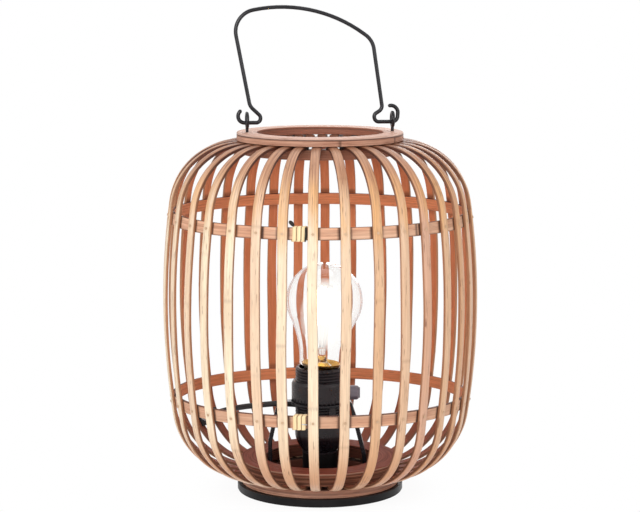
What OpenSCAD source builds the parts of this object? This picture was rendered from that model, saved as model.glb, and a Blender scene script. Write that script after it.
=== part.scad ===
// Lantern table lamp: a round cage of thin bent ribs on a black base, with a
// clear bulb in a black holder inside it and a wire bail to carry it by.
// Millimetres. Z is up, the origin is the centre of the base's underside, and
// the front of the lamp faces -Y.

/* [Cage] */
// Outer radius of the cage at its widest
belly_radius = 125; // [115:1:140]
// Height at which the cage is widest
belly_height = 151.6; // [142:0.1:160]
// Height of the top of the ribs
rib_top_height = 280.5; // [265:0.5:300]
// Radius of the ribs' long side curve
side_radius = 580; // [450:10:900]
// Radius of the ribs' curve into the top rings
shoulder_radius = 55.6; // [50:0.1:60]
// Radius of the ribs' curve into the bottom rings
foot_radius = 60; // [54:0.5:64]
// Number of ribs
rib_count = 32; // [26:2:32]
// Rib width
rib_width = 7.4; // [6:0.1:8]
// Rib thickness
rib_thickness = 2.6; // [2:0.1:3.2]
// Angle of the first rib, from the front
rib_phase = -2.5; // [-6:0.1:6]
// Radius at which the ribs' level ends stop, inside the rings
rib_end_radius = 51.5; // [50.5:0.1:54]

/* [Hoops] */
// Height of the upper hoop
upper_hoop_height = 221; // [205:1:228]
// Height of the lower hoop
lower_hoop_height = 74.8; // [72:0.2:90]
// Rise of the lower hoop toward the front, in degrees
lower_hoop_tilt = 1.8; // [0:0.1:2]
// Height of a hoop's strip
hoop_width = 9.5; // [7:0.1:11]
// Thickness of a hoop's strip
hoop_thickness = 2.6; // [2:0.1:3.2]
// Width of one turn of the cane binding
wrap_width = 3.5; // [2.6:0.1:3.5]
// Thickness of the cane binding
wrap_thickness = 1; // [0.8:0.1:1.2]
// Turns in each binding
wrap_turns = 3; // [2:1:3]
// Shank diameter of the cage nails
nail_shank = 1.2; // [1:0.1:1.6]
// Head diameter of the cage nails
nail_head = 2; // [1.9:0.1:3]

/* [Top rings] */
// Outer radius of the rim band and its cap
rim_outer_radius = 65.7; // [62:0.1:70]
// Inner radius of the rim band and its cap
rim_inner_radius = 49.8; // [47:0.1:50]
// Height of the rim band
rim_height = 4.1; // [3.5:0.1:8]
// Thickness of the cap on the rim band
rim_cap_thickness = 2.4; // [1.5:0.1:4]
// Outer radius of the ring under the rib ends
under_ring_radius = 62; // [58:0.5:63]
// Height of the ring under the rib ends
under_ring_height = 7.9; // [5:0.1:12]

/* [Bottom rings and base] */
// Outer radius of the base tray
base_radius = 66.2; // [64.5:0.1:75]
// Height of the base tray
tray_height = 5.2; // [5:0.1:12]
// Sheet thickness of the base tray
tray_wall = 1.2; // [1:0.1:1.4]
// Thickness of the pad under the base
pad_thickness = 1; // [0.6:0.1:3]
// Thickness of the ballast disc
ballast_thickness = 3.6; // [2:0.1:3.6]
// Inner radius of both bottom rings
bottom_inner_radius = 44; // [43.2:0.1:46]
// Outer radius of the ring under the rib feet
lower_ring_radius = 63; // [58:0.5:64]
// Height of the ring under the rib feet
lower_ring_height = 6.8; // [5:0.1:10]
// Outer radius of the ring over the rib feet
upper_ring_radius = 63.5; // [58:0.5:64]
// Height of the ring over the rib feet
upper_ring_height = 7.8; // [6:0.1:10]
// Thickness of the cap on the ring over the rib feet
ring_cap_thickness = 2.4; // [1.5:0.1:4]

/* [Bail and eyes] */
// Wire diameter of the bail
bail_wire = 3.1; // [2.4:0.1:3.4]
// Height of the bail's upper bend above its hinge
bail_rise = 97.6; // [80:0.1:120]
// Wire diameter of the screw eyes
eye_wire = 2.8; // [2.2:0.1:3.2]
// Inside diameter of the screw eyes
eye_hole = 7.9; // [6.8:0.1:9]
// Distance of each eye from the lamp's axis
eye_radius = 57.5; // [56.5:0.1:59]
// Turn of the line through both eyes, left eye toward the front
eye_turn = 6; // [0:0.5:10]

/* [Lamp holder] */
// Outer radius of the riser tube
riser_radius = 14; // [12:0.1:16]
// Height of the top of the riser tube
riser_top_height = 29.6; // [27:0.1:30.5]
// Wall of the riser tube
riser_wall = 1.5; // [1.2:0.1:2]
// Outer radius of the holder's cup
cup_radius = 20; // [19.4:0.1:20.4]
// Height of the cup's top edge
cup_top_height = 57; // [54:0.1:58]
// Wall of the holder's cup
cup_wall = 1.6; // [1.2:0.1:1.8]
// Height of the holder's mouth
mouth_height = 99; // [96:0.1:101]
// Crest radius of the holder's outside thread
thread_radius = 19.7; // [19.4:0.1:20]
// Depth of the holder's outside thread
thread_depth = 0.8; // [0.4:0.1:1]
// Pitch of the holder's outside thread
thread_pitch = 2.3; // [2:0.1:3]
// Inner radius of the holder's sleeve
sleeve_bore_radius = 16.9; // [16.4:0.1:17.1]
// Outer radius of the grip collar
collar_radius = 22.7; // [22:0.1:24]
// Height of the grip collar's lower edge
collar_bottom_height = 71.5; // [71:0.1:73]
// Height of the grip collar
collar_height = 16.5; // [14:0.1:18]
// Clearance from the stay's ring up to the switch knob
knob_clearance = 0.5; // [0.4:0.1:1.2]
// Diameter of the switch knob
knob_diameter = 11.6; // [9:0.1:14]
// Length of the switch knob
knob_length = 8.4; // [6:0.1:12]

/* [Stay] */
// Thickness of the stay's steel strap
strap_thickness = 2; // [1.5:0.1:2.4]
// Width of the stay's steel strap
strap_width = 10; // [8:0.5:12]

/* [Bulb] */
// Radius of the bulb
bulb_radius = 30.5; // [28:0.5:33]
// Radius of the bulb's neck
bulb_neck_radius = 17.3; // [16.5:0.1:18]
// Height of the bulb from the holder's mouth to its top
bulb_reach = 84; // [76:0.5:90]
// Lean of the bulb to the right, in degrees
bulb_lean = 3; // [0:0.1:3]
// Wall of the bulb's glass
glass_wall = 0.8; // [0.6:0.1:1]

/* [Lead] */
// Diameter of the supply lead
lead_diameter = 4.6; // [4:0.1:5]

/* [Hidden] */
$fn = 96;
arc_sides = 720;
bore_sides = 32;
wire_sides = 24;
seat_gap = 0.3;
slip_gap = 0.2;
cut_over = 1;

rib_pitch = 360 / rib_count;
rib_names = [for (i = [1:rib_count]) str("rib_", i < 10 ? "0" : "", i)];

cane_pale = [0.91, 0.80, 0.60];
cane_honey = [0.85, 0.66, 0.42];
ring_brown = [0.72, 0.48, 0.38];
dark_brown = [0.42, 0.25, 0.18];
base_black = [0.09, 0.09, 0.09];
holder_grey = [0.20, 0.19, 0.20];
knob_grey = [0.55, 0.52, 0.57];
bright_steel = [0.75, 0.76, 0.78];
wire_black = [0.12, 0.11, 0.13];
brass = [0.80, 0.62, 0.30];
clear_glass = [0.95, 0.97, 1, 0.35];
glow_yellow = [1, 0.85, 0.45];

// ---- the ribs' curve: a foot arc, a long side arc and a shoulder arc ----
tray_bottom_height = pad_thickness;
tray_top_height = tray_bottom_height + tray_height;
rib_foot_height = tray_top_height + lower_ring_height;
side_centre = [belly_radius - side_radius, belly_height];
shoulder_rise = rib_top_height - shoulder_radius - belly_height;
foot_drop = belly_height - rib_foot_height - foot_radius;
shoulder_angle = asin(shoulder_rise / (side_radius - shoulder_radius));
foot_angle = asin(foot_drop / (side_radius - foot_radius));
shoulder_centre = [
  side_centre.x + (side_radius - shoulder_radius) * cos(shoulder_angle),
  belly_height + shoulder_rise
];
foot_centre = [
  side_centre.x + (side_radius - foot_radius) * cos(foot_angle),
  belly_height - foot_drop
];

// How far toward the right each rib was laid from its even place, in degrees, from rib 1 on
rib_drift = [
  0, 0.25, 0.9, 0.25, -1.3, -1.75, -3, -4.75, -4, -4.25, -4.5, -4.75, -3.1, -1.25, -0.2, 0.95,
  0.6, 0.15, -0.6, -1.55, -1.8, -1.35, 0.5, 0.75, 1.3, 2.25, 3, 3.75, 2.2, 2.25, 1.8, 0.25
];
// Azimuth of rib i, counted from 1 at the front toward the right
function rib_azimuth(i) = rib_phase + (i - 1) * rib_pitch + rib_drift[(i - 1) % len(rib_drift)];
// Azimuth of the gap between rib i and the next one
function gap_azimuth(i) =
  (rib_azimuth(i) + (i < rib_count ? rib_azimuth(i + 1) : rib_azimuth(1) + 360)) / 2;
// Angle of the side curve's outward normal above the level, at a height
function side_slope(z, depth = 0) = asin((z - belly_height) / (side_radius - depth));
// Radius of the ribs' face at a height on the side curve, depth inside the outer face
function side_face(z, depth = 0) =
  side_centre.x + (side_radius - depth) * cos(side_slope(z, depth));
// How far an end arc's inner face leaves the level at a radius
function arc_rise(centre_r, arc_r, r) =
  r > centre_r ? arc_r - sqrt(pow(arc_r, 2) - pow(r - centre_r, 2)) : 0;

// ---- heights of the stacked rings ----
rim_bottom_height = rib_top_height;
rim_cap_height = rim_bottom_height + rim_height;
rim_top_height = rim_cap_height + rim_cap_thickness;
under_ring_drop = arc_rise(shoulder_centre.x, shoulder_radius - rib_thickness, under_ring_radius);
under_ring_top = rib_top_height - rib_thickness - under_ring_drop;
upper_ring_lift = arc_rise(foot_centre.x, foot_radius - rib_thickness, upper_ring_radius);
upper_ring_bottom = rib_foot_height + rib_thickness + upper_ring_lift;
ring_cap_height = upper_ring_bottom + upper_ring_height;

// ---- hoops: number 0 is the lower one, number 1 the upper one ----
hoop_heights = [lower_hoop_height, upper_hoop_height];
hoop_tilts = [lower_hoop_tilt, 0];
hoop_gap = 0.35;
seam_width = 0.5;
seam_depth = 0.5;
hoop_seams = [39.1, 37.8];
rim_seams = [13, 62];
wrap_gaps = [rib_count, rib_count];
wrap_clearance = 0.15;
wrap_rings = 24;
wrap_lay_gap = 0.7;
wrap_spacing = wrap_width + wrap_lay_gap;
nail_fit = 0.2;
nail_head_height = 0.4;
function hoop_slope(k) = side_slope(hoop_heights[k], rib_thickness);
function hoop_seat(k) = side_face(hoop_heights[k], rib_thickness);
function hoop_rise_at(k, az) = hoop_seat(k) * sin(hoop_tilts[k]) * cos(az);
function hoop_shift(k) = -tan(hoop_slope(k)) * hoop_seat(k) * sin(hoop_tilts[k]);

// ---- bail and eyes ----
eye_ring_radius = (eye_hole + eye_wire) / 2;
eye_height = rim_top_height + 9.5;
eye_screw_depth = 6;
eye_shank = eye_wire - 0.3;
bail_gap = 0.3;
bail_axis_height = eye_height - eye_hole / 2 + bail_gap + bail_wire / 2;

// ---- lamp holder ----
coupling_flange = 1.8;
cup_bottom_height = riser_top_height + coupling_flange;
cup_rise = sqrt(pow(cup_radius, 2) - pow(riser_radius - 0.5, 2));
cup_centre_height = cup_bottom_height + cup_rise;
nipple_radius = 5;
nipple_rise = 6;
nipple_bore = 3.4;
coupling_flange_radius = riser_radius + 0.2;
flange_thickness = 1.6;
flange_width = 5.6;
spigot_depth = 5;
floor_thickness = 2;
floor_height = 69.4;
shell_step = 1.6;
shell_bottom_height = floor_height + floor_thickness + shell_step;
shell_bore_radius = 13.8;
shell_wall = 0.4;
shell_top_gap = 2.5;
shell_lip_radius = 9.4;
collar_bore_radius = thread_radius + seat_gap;
knob_facets = 8;
knob_corner = 1.035;
knob_height = collar_bottom_height - seat_gap + knob_clearance + knob_diameter / 2 * knob_corner;
knob_stem = 4;
knob_stem_fit = 0.2;
knob_face = collar_radius + seat_gap;
cam_face = shell_bore_radius + shell_wall + 0.4;
cam_thickness = 1;
cam_diameter = 7;
leaf_thickness = 0.6;
leaf_width = 3;
leaf_slot_width = 4;
latch_azimuth = 31;
latch_pocket_width = 6.8;
latch_pocket_top = floor_height + 1.6;
latch_pocket_depth = 1.4;
lead_entry_height = 66;
lead_exit_turn = 25;
lead_entry_diameter = lead_diameter + 0.8;

// ---- screws ----
screw_shank = 2.9;
screw_head = 5.4;
screw_head_height = 1.7;
screw_fit = 0.2;
riser_screw_angles = [30, 150, 270];

// ---- stay ----
stay_ring_width = 3.6;
stay_ring_height = collar_bottom_height - seat_gap - strap_thickness / 2;
stay_foot_height = tray_top_height + strap_thickness / 2;
stay_left = [
  [-21, stay_ring_height], [-33, stay_ring_height], [-40, 38],
  [-40, stay_foot_height], [-28, stay_foot_height]
];
stay_right = [
  [21, stay_ring_height], [24.5, stay_ring_height], [35.2, 28],
  [36.6, stay_foot_height], [25.6, stay_foot_height]
];
stay_screw_inset = screw_head * 0.7;

// ---- bulb, in its own frame: Z = 0 is the middle of its screw cap ----
bulb_pivot_height = 85.5;
cap_radius = 13;
cap_length = 24;
cap_rim_radius = 14.6;
cap_thread_depth = 0.7;
cap_turns = 4;
cap_wall = 0.5;
neck_height = mouth_height + 2 - bulb_pivot_height;
bulb_top = mouth_height + bulb_reach - bulb_pivot_height;
bulb_centre = bulb_top - bulb_radius;
bulb_span = bulb_centre - neck_height;
neck_arc = (pow(bulb_neck_radius, 2) + pow(bulb_span, 2) - pow(bulb_radius, 2))
  / (2 * (bulb_radius - bulb_neck_radius));

// ---- lead and its outlet ----
outlet_gap = 22;
outlet_height = 45;
outlet_drop = asin((foot_centre.y - outlet_height) / (foot_radius - rib_thickness));
outlet_radius = foot_centre.x + (foot_radius - rib_thickness) * cos(outlet_drop);
outlet_setback = 1.3;
outlet_flange = [2, 26, 12];
outlet_neck = [10, 12, 9];
outlet_bore = lead_diameter + 0.6;
outlet_screw_offset = 9.8;
outlet_axis = [
  sin(gap_azimuth(outlet_gap)) * cos(outlet_drop),
  -cos(gap_azimuth(outlet_gap)) * cos(outlet_drop),
  -sin(outlet_drop)
];
outlet_seat = [
  sin(gap_azimuth(outlet_gap)) * outlet_radius,
  -cos(gap_azimuth(outlet_gap)) * outlet_radius,
  outlet_height
];
function outlet_point(out) = outlet_seat + outlet_axis * out;
function entry_point(out) = let (r = sleeve_bore_radius + out)
  [-r * cos(lead_exit_turn), r * sin(lead_exit_turn), lead_entry_height];
lead_route = concat(
  [entry_point(0.4), entry_point(7)],
  [
    [-33, 15.5, 65.4], [-42, 20.4, 63.8], [-52, 26.4, 61.6], [-62, 33.1, 59], [-71.3, 40, 56],
    [-79.8, 46.6, 52.7]
  ],
  [outlet_point(-8), outlet_point(0), outlet_point(6)]
);
lead_sides = 10;
lead_steps = 3;

// ---------------------------------------------------------------- helpers

// A flat ring about the Z axis
module ring(outer, inner, height) {
  rotate_extrude() translate([inner, 0]) square([outer - inner, height]);
}

// The part of a circular band that runs from one angle to another
module arc_band(centre, radius, thickness, from, to) {
  reach = radius * 1.6;
  middle = (from + to) / 2;
  translate(centre) intersection() {
    difference() {
      circle(r = radius, $fn = arc_sides);
      circle(r = radius - thickness, $fn = arc_sides);
    }
    polygon([[0, 0], for (a = [from, middle, to]) reach * [cos(a), sin(a)]]);
  }
}

// A round wire bent through points in the XZ plane, with one bend radius a point
module bent_wire(points, radii, wire) {
  last = len(points) - 1;
  function unit(v) = v / norm(v);
  function turn(i) = i == 0 || i == last ? 0 :
    acos(min(1, max(-1, unit(points[i] - points[i - 1]) * unit(points[i + 1] - points[i]))));
  function setback(i) = i == 0 || i == last ? 0 : radii[i] * tan(turn(i) / 2);
  for (i = [0:last - 1]) {
    along = unit(points[i + 1] - points[i]);
    start = points[i] + along * setback(i);
    length = norm(points[i + 1] - points[i]) - setback(i) - setback(i + 1);
    translate([start.x, 0, start.y]) rotate([0, 90 - atan2(along.y, along.x), 0])
      cylinder(d = wire, h = length, $fn = wire_sides);
  }
  for (i = [1:last - 1]) {
    inward = unit(points[i] - points[i - 1]);
    outward = unit(points[i + 1] - points[i]);
    side = inward.x * outward.y - inward.y * outward.x > 0 ? 1 : -1;
    start = points[i] - inward * setback(i);
    centre = start + side * radii[i] * [-inward.y, inward.x];
    first = atan2(start.y - centre.y, start.x - centre.x);
    translate([centre.x, 0, centre.y]) rotate([90, 0, 0])
      rotate([0, 0, side > 0 ? first : first - turn(i)])
        rotate_extrude(angle = turn(i)) translate([radii[i], 0]) circle(d = wire, $fn = wire_sides);
    finish = points[i] + outward * setback(i);
    for (joint = [start, finish]) translate([joint.x, 0, joint.y])
      sphere(d = wire + 0.02, $fn = wire_sides);
  }
}

// The outline of a flat strip that follows points, mitred at its corners
module strip(points, thickness) {
  last = len(points) - 1;
  function unit(v) = v / norm(v);
  function normal(i) = let (d = unit(points[i + 1] - points[i])) [-d.y, d.x];
  function offset_at(i) = i == 0 ? normal(0) : i == last ? normal(last - 1) :
    let (n = unit(normal(i - 1) + normal(i))) n / (n * normal(i));
  half = thickness / 2;
  polygon(concat(
    [for (i = [0:last]) points[i] + half * offset_at(i)],
    [for (i = [last:-1:0]) points[i] - half * offset_at(i)]
  ));
}

// A closed tube through rings of points, as one solid
module skin(rings) {
  sides = len(rings[0]);
  count = len(rings);
  walls = [for (j = [0:count - 2]) for (m = [0:sides - 1])
    let (a = j * sides + m, b = j * sides + (m + 1) % sides)
      each [[a, a + sides, b], [b, a + sides, b + sides]]];
  caps = [for (m = [1:sides - 2])
    each [[0, m, m + 1], (count - 1) * sides * [1, 1, 1] + [0, m + 1, m]]];
  polyhedron(points = [for (r = rings) each r], faces = concat(walls, caps), convexity = 10);
}

// A pan-head screw with its head's underside at Z = 0 and its shank below
module screw(shank_length) {
  difference() {
    rotate_extrude() intersection() {
      translate([0, screw_head_height - screw_head * 0.9]) circle(r = screw_head * 0.9);
      square([screw_head / 2, screw_head_height]);
    }
    for (a = [0, 90]) rotate([0, 0, a]) translate([-1.5, -0.35, screw_head_height - 0.8])
      cube([3, 0.7, cut_over]);
  }
  translate([0, 0, -shank_length]) cylinder(d = screw_shank, h = shank_length + 0.1, $fn = bore_sides);
}

// ------------------------------------------------------------------- cage

// Places a child on rib i's outer face where hoop k crosses, with +X outward
module on_crossing(i, k) {
  az = rib_azimuth(i);
  z = hoop_heights[k] + hoop_rise_at(k, az);
  rotate([0, 0, az - 90]) translate([side_face(z), 0, z]) rotate([0, -side_slope(z), 0])
    children();
}

// The hole for a cage nail, through the rib and the hoop behind it
module nail_hole() {
  depth = rib_thickness + hoop_gap + hoop_thickness + cut_over;
  translate([-depth, 0, 0]) rotate([0, 90, 0])
    cylinder(d = nail_shank + nail_fit, h = depth + cut_over, $fn = bore_sides);
}

module rib(i) {
  color(cos(rib_azimuth(i) + 45) > 0 ? cane_pale : cane_honey)
  difference() {
    rotate([0, 0, rib_azimuth(i) - 90]) rotate([90, 0, 0])
      linear_extrude(height = rib_width, center = true) rib_profile();
    for (k = [0, 1]) on_crossing(i, k) nail_hole();
  }
}

module rib_profile() {
  arc_band(side_centre, side_radius, rib_thickness, -foot_angle, shoulder_angle);
  arc_band(shoulder_centre, shoulder_radius, rib_thickness, shoulder_angle, 90);
  arc_band(foot_centre, foot_radius, rib_thickness, -90, -foot_angle);
  translate([rib_end_radius, rib_top_height - rib_thickness])
    square([shoulder_centre.x - rib_end_radius, rib_thickness]);
  translate([rib_end_radius, rib_foot_height])
    square([foot_centre.x - rib_end_radius, rib_thickness]);
}

// Places a child in hoop k's own frame, level and centred in the hoop
module in_hoop(k) {
  translate([0, -hoop_shift(k), hoop_heights[k]]) rotate([-hoop_tilts[k], 0, 0]) children();
}

module hoop(k) {
  color(cane_honey)
  difference() {
    in_hoop(k) difference() {
      rotate_extrude($fn = 180) translate([hoop_seat(k), 0]) rotate(hoop_slope(k))
        translate([-hoop_gap - hoop_thickness, -hoop_width / 2])
          square([hoop_thickness, hoop_width]);
      rotate([0, 0, hoop_seams[k] - 90])
        translate([hoop_seat(k) - hoop_gap - seam_depth, -seam_width / 2, -hoop_width])
          cube([3 * seam_depth, seam_width, 2 * hoop_width]);
    }
    for (i = [1:rib_count]) on_crossing(i, k) nail_hole();
  }
}

// The rings of points of hoop k's binding, from its inner face round and round
function wrap_points(k) =
  let (
    reach = wrap_clearance + wrap_thickness / 2,
    steps = wrap_rings / 4,
    seat = [hoop_seat(k), 0],
    slope = hoop_slope(k),
    middle = gap_azimuth(wrap_gaps[k]) - 90
  )
  [for (j = [0:wrap_turns * wrap_rings])
    let (
      q = (j + wrap_rings / 2) % wrap_rings,
      corner = floor(q / steps),
      bend = 90 * corner + 90 * (q % steps) / (steps - 1),
      across = (corner == 0 || corner == 3 ? 1 : -1) * hoop_thickness / 2,
      upward = (corner < 2 ? 1 : -1) * hoop_width / 2,
      centre = [across - hoop_gap - hoop_thickness / 2, upward],
      turn = (j / wrap_rings - wrap_turns / 2) * wrap_spacing / hoop_seat(k) * 180 / PI
    )
    [for (m = [0:5])
      let (
        wide = [1, 0.7, -0.7, -1, -0.7, 0.7][m] * wrap_width / 2,
        thick = [0, 1, 1, 0, -1, -1][m] * wrap_thickness / 2,
        local = centre + (reach + thick) * [cos(bend), sin(bend)],
        flat = seat + [local.x * cos(slope) - local.y * sin(slope),
                       local.x * sin(slope) + local.y * cos(slope)],
        az = middle + turn
      )
      [flat.x * cos(az) - wide * sin(az), flat.x * sin(az) + wide * cos(az), flat.y]
    ]
  ];

// Least distance between the points of one turn and those of the next
function least_gap(rings) = min([
  for (j = [0:len(rings) - wrap_rings - 2]) for (d = [-1:1]) for (a = rings[j])
    for (b = rings[max(0, j + wrap_rings + d)]) norm(a - b)
]);

module hoop_bindings() {
  for (k = [0, 1]) {
    echo(str("binding ", k, " least gap between its turns: ", least_gap(wrap_points(k))));
    color(cane_pale) in_hoop(k) skin(wrap_points(k));
  }
}

module rib_nails() {
  length = rib_thickness + hoop_gap + hoop_thickness - seat_gap;
  color(dark_brown)
  for (i = [1:rib_count]) for (k = [0, 1]) on_crossing(i, k) rotate([0, 90, 0]) {
    cylinder(d = nail_head, h = nail_head_height, $fn = bore_sides);
    translate([0, 0, -length]) cylinder(d = nail_shank, h = length + 0.1, $fn = bore_sides);
  }
}

// -------------------------------------------------------------- top rings

module top_under_ring() {
  color(dark_brown) translate([0, 0, under_ring_top - under_ring_height])
    ring(under_ring_radius, rim_inner_radius, under_ring_height);
}

// Places a child at each eye, on the rim's top, with X along the bail's hinge
module at_eyes() {
  rotate([0, 0, eye_turn]) for (side = [-1, 1]) translate([side * eye_radius, 0, rim_top_height])
    children();
}

module eye_holes() {
  at_eyes() translate([0, 0, -eye_screw_depth - seat_gap])
    cylinder(d = eye_shank + slip_gap, h = eye_screw_depth + 2 * cut_over, $fn = bore_sides);
}

module top_rim_band() {
  color(ring_brown)
  difference() {
    translate([0, 0, rim_bottom_height]) ring(rim_outer_radius, rim_inner_radius, rim_height);
    eye_holes();
    for (az = rim_seams) rotate([0, 0, az - 90])
      translate([rim_outer_radius - seam_depth, -seam_width / 2, rim_bottom_height - cut_over])
        cube([2 * seam_depth, seam_width, rim_height + 2 * cut_over]);
  }
}

module top_ring_cap() {
  color(ring_brown)
  difference() {
    translate([0, 0, rim_cap_height]) ring(rim_outer_radius, rim_inner_radius, rim_cap_thickness);
    eye_holes();
  }
}

module screw_eyes() {
  color(wire_black)
  at_eyes() {
    translate([0, 0, eye_height - rim_top_height]) rotate([0, 90, 0])
      rotate_extrude() translate([eye_ring_radius, 0]) circle(d = eye_wire, $fn = wire_sides);
    translate([0, 0, -eye_screw_depth]) cylinder(d = eye_shank,
      h = eye_screw_depth + eye_height - rim_top_height - eye_ring_radius, $fn = bore_sides);
  }
}

// Points are across and above the hinge; the runs through the eyes lie on it
module bail_handle() {
  left_run = -eye_radius;
  right_run = eye_radius;
  points = [
    [left_run - 4.6, 10.2], [left_run - 7.2, 6.6], [left_run - 6.6, 0],
    [left_run + 9.8, 0], [left_run + 11, 4.8], [left_run + 2.3, 13],
    [-69, bail_rise - 13], [-4.4, bail_rise], [41.6, bail_rise - 33.5],
    [right_run - 8, 10], [right_run - 15, 5.6], [right_run - 13.6, 0],
    [right_run + 3.8, 0], [right_run + 4.4, 9], [right_run + 0.8, 13.2], [right_run - 3.6, 12.4]
  ];
  radii = [0, 3, 3, 2.2, 3, 9, 17, 110, 16, 3, 3, 2.2, 3, 3, 2.4, 0];
  color(wire_black) rotate([0, 0, eye_turn]) translate([0, 0, bail_axis_height])
    bent_wire(points, radii, bail_wire);
}

// ---------------------------------------------------- base and its rings

module base_pad() {
  color(base_black) cylinder(r = base_radius - 0.6, h = pad_thickness);
}

module base_tray() {
  inner = base_radius - tray_wall;
  color(base_black)
  difference() {
    translate([0, 0, tray_bottom_height]) cylinder(r = base_radius, h = tray_height);
    translate([0, 0, tray_bottom_height - cut_over])
      cylinder(r = inner, h = tray_height - tray_wall + cut_over);
    at_base_screws()
      cylinder(d = screw_shank + screw_fit, h = 4 * tray_wall, center = true, $fn = bore_sides);
  }
}

module ballast_weight() {
  color("dimgray") translate([0, 0, tray_bottom_height])
    cylinder(r = base_radius - tray_wall - 3, h = ballast_thickness);
}

module bottom_lower_ring() {
  color(ring_brown) translate([0, 0, tray_top_height])
    ring(lower_ring_radius, bottom_inner_radius, lower_ring_height);
}

module bottom_upper_ring() {
  color(ring_brown) translate([0, 0, upper_ring_bottom])
    ring(upper_ring_radius, bottom_inner_radius, upper_ring_height);
}

module bottom_ring_cap() {
  color(ring_brown) translate([0, 0, ring_cap_height])
    ring(upper_ring_radius, bottom_inner_radius, ring_cap_thickness);
}

// Places a child at each screw in the tray's top: three in the riser, two in the stay
module at_base_screws() {
  translate([0, 0, tray_top_height]) {
    for (a = riser_screw_angles) rotate([0, 0, a]) translate([riser_radius + flange_width / 2, 0, 0])
      children();
    for (foot = [stay_left[4].x, stay_right[4].x]) translate([foot + sign(foot) * stay_screw_inset, 0, 0])
      children();
  }
}

// ------------------------------------------------------------ lamp holder

module riser_tube() {
  color(base_black) translate([0, 0, tray_top_height])
  difference() {
    union() {
      cylinder(r = riser_radius, h = riser_top_height - tray_top_height);
      cylinder(r = riser_radius + flange_width, h = flange_thickness);
    }
    translate([0, 0, -cut_over]) cylinder(r = riser_radius - riser_wall, h = riser_top_height);
    translate([0, 0, -tray_top_height]) at_base_screws()
      cylinder(d = screw_shank + screw_fit, h = 4 * flange_thickness, center = true, $fn = bore_sides);
  }
}

module riser_coupling() {
  color(bright_steel)
  difference() {
    union() {
      translate([0, 0, riser_top_height]) cylinder(r = coupling_flange_radius, h = coupling_flange);
      translate([0, 0, riser_top_height - spigot_depth])
        cylinder(r = riser_radius - riser_wall - slip_gap, h = spigot_depth + coupling_flange / 2);
      translate([0, 0, riser_top_height]) cylinder(r = nipple_radius, h = coupling_flange + nipple_rise);
    }
    translate([0, 0, riser_top_height - spigot_depth - cut_over])
      cylinder(r = nipple_bore, h = spigot_depth + coupling_flange + nipple_rise + 2 * cut_over);
  }
}

// The bowl that closes the holder below, drawn in by an amount
module cup_shape(inset) {
  intersection() {
    union() {
      translate([0, cup_centre_height]) circle(r = cup_radius - inset);
      translate([0, cup_centre_height]) square([cup_radius - inset, cup_top_height - cup_centre_height]);
    }
    translate([0, cup_bottom_height + inset])
      square([cup_radius, cup_top_height - cup_bottom_height - inset]);
  }
}

module holder_cup() {
  color(holder_grey) {
    difference() {
      rotate_extrude() difference() {
        cup_shape(0);
        cup_shape(cup_wall);
        translate([0, cup_top_height - cut_over]) square([cup_radius - cup_wall, 2 * cut_over]);
      }
      translate([0, 0, cup_bottom_height - cut_over])
        cylinder(r = nipple_radius + slip_gap, h = cup_wall + 2 * cut_over);
    }
    latch_tab();
  }
}

// The springy tab of the cup that clips into the sleeve
module latch_tab() {
  width = latch_pocket_width - 3 * seat_gap;
  outer = thread_radius - 0.1;
  inner = thread_radius - latch_pocket_depth + seat_gap;
  top = latch_pocket_top - seat_gap;
  rotate([0, 0, latch_azimuth - 90]) intersection() {
    translate([0, 0, cup_top_height - cup_wall])
      ring(outer, inner, top - cup_top_height + cup_wall);
    translate([0, -width / 2, 0]) cube([2 * cup_radius, width, 2 * cup_top_height]);
  }
}

// One half of the holder's thread as an outline: crests and roots from z to z
module thread_outline(from, to) {
  turns = floor((to - from) / thread_pitch);
  root = thread_radius - thread_depth;
  polygon(concat(
    [[sleeve_bore_radius, from], [root, from]],
    [for (n = [0:turns - 1]) each [
      [thread_radius, from + (n + 0.3) * thread_pitch],
      [thread_radius, from + (n + 0.6) * thread_pitch],
      [root, from + (n + 0.9) * thread_pitch]
    ]],
    [[root, to], [sleeve_bore_radius, to]]
  ));
}

module holder_sleeve() {
  color(holder_grey)
  difference() {
    union() {
      rotate_extrude() {
        thread_outline(cup_top_height, mouth_height);
        translate([sleeve_bore_radius, cup_top_height - spigot_depth])
          square([cup_radius - cup_wall - seat_gap - sleeve_bore_radius, spigot_depth + 0.1]);
      }
      translate([0, 0, floor_height]) cylinder(r = sleeve_bore_radius + 0.5, h = floor_thickness);
      translate([0, 0, floor_height + floor_thickness / 2])
        ring(shell_bore_radius + shell_wall, shell_lip_radius, floor_thickness / 2 + shell_step);
    }
    translate([0, -leaf_slot_width / 2, floor_height + floor_thickness])
      cube([sleeve_bore_radius, leaf_slot_width, shell_step + cut_over]);
    rotate([0, 0, latch_azimuth - 90])
      translate([
        thread_radius - latch_pocket_depth, -latch_pocket_width / 2,
        cup_top_height - spigot_depth - cut_over
      ]) cube([
        2 * latch_pocket_depth, latch_pocket_width,
        latch_pocket_top - cup_top_height + spigot_depth + cut_over
      ]);
    rotate([0, 0, -lead_exit_turn]) translate([0, 0, lead_entry_height]) rotate([0, -90, 0])
      cylinder(d = lead_entry_diameter, h = cup_radius + cut_over, $fn = bore_sides);
    translate([sleeve_bore_radius - cut_over, 0, knob_height]) rotate([0, 90, 0])
      cylinder(d = knob_stem + knob_stem_fit, h = cup_radius, $fn = bore_sides);
  }
}

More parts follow.
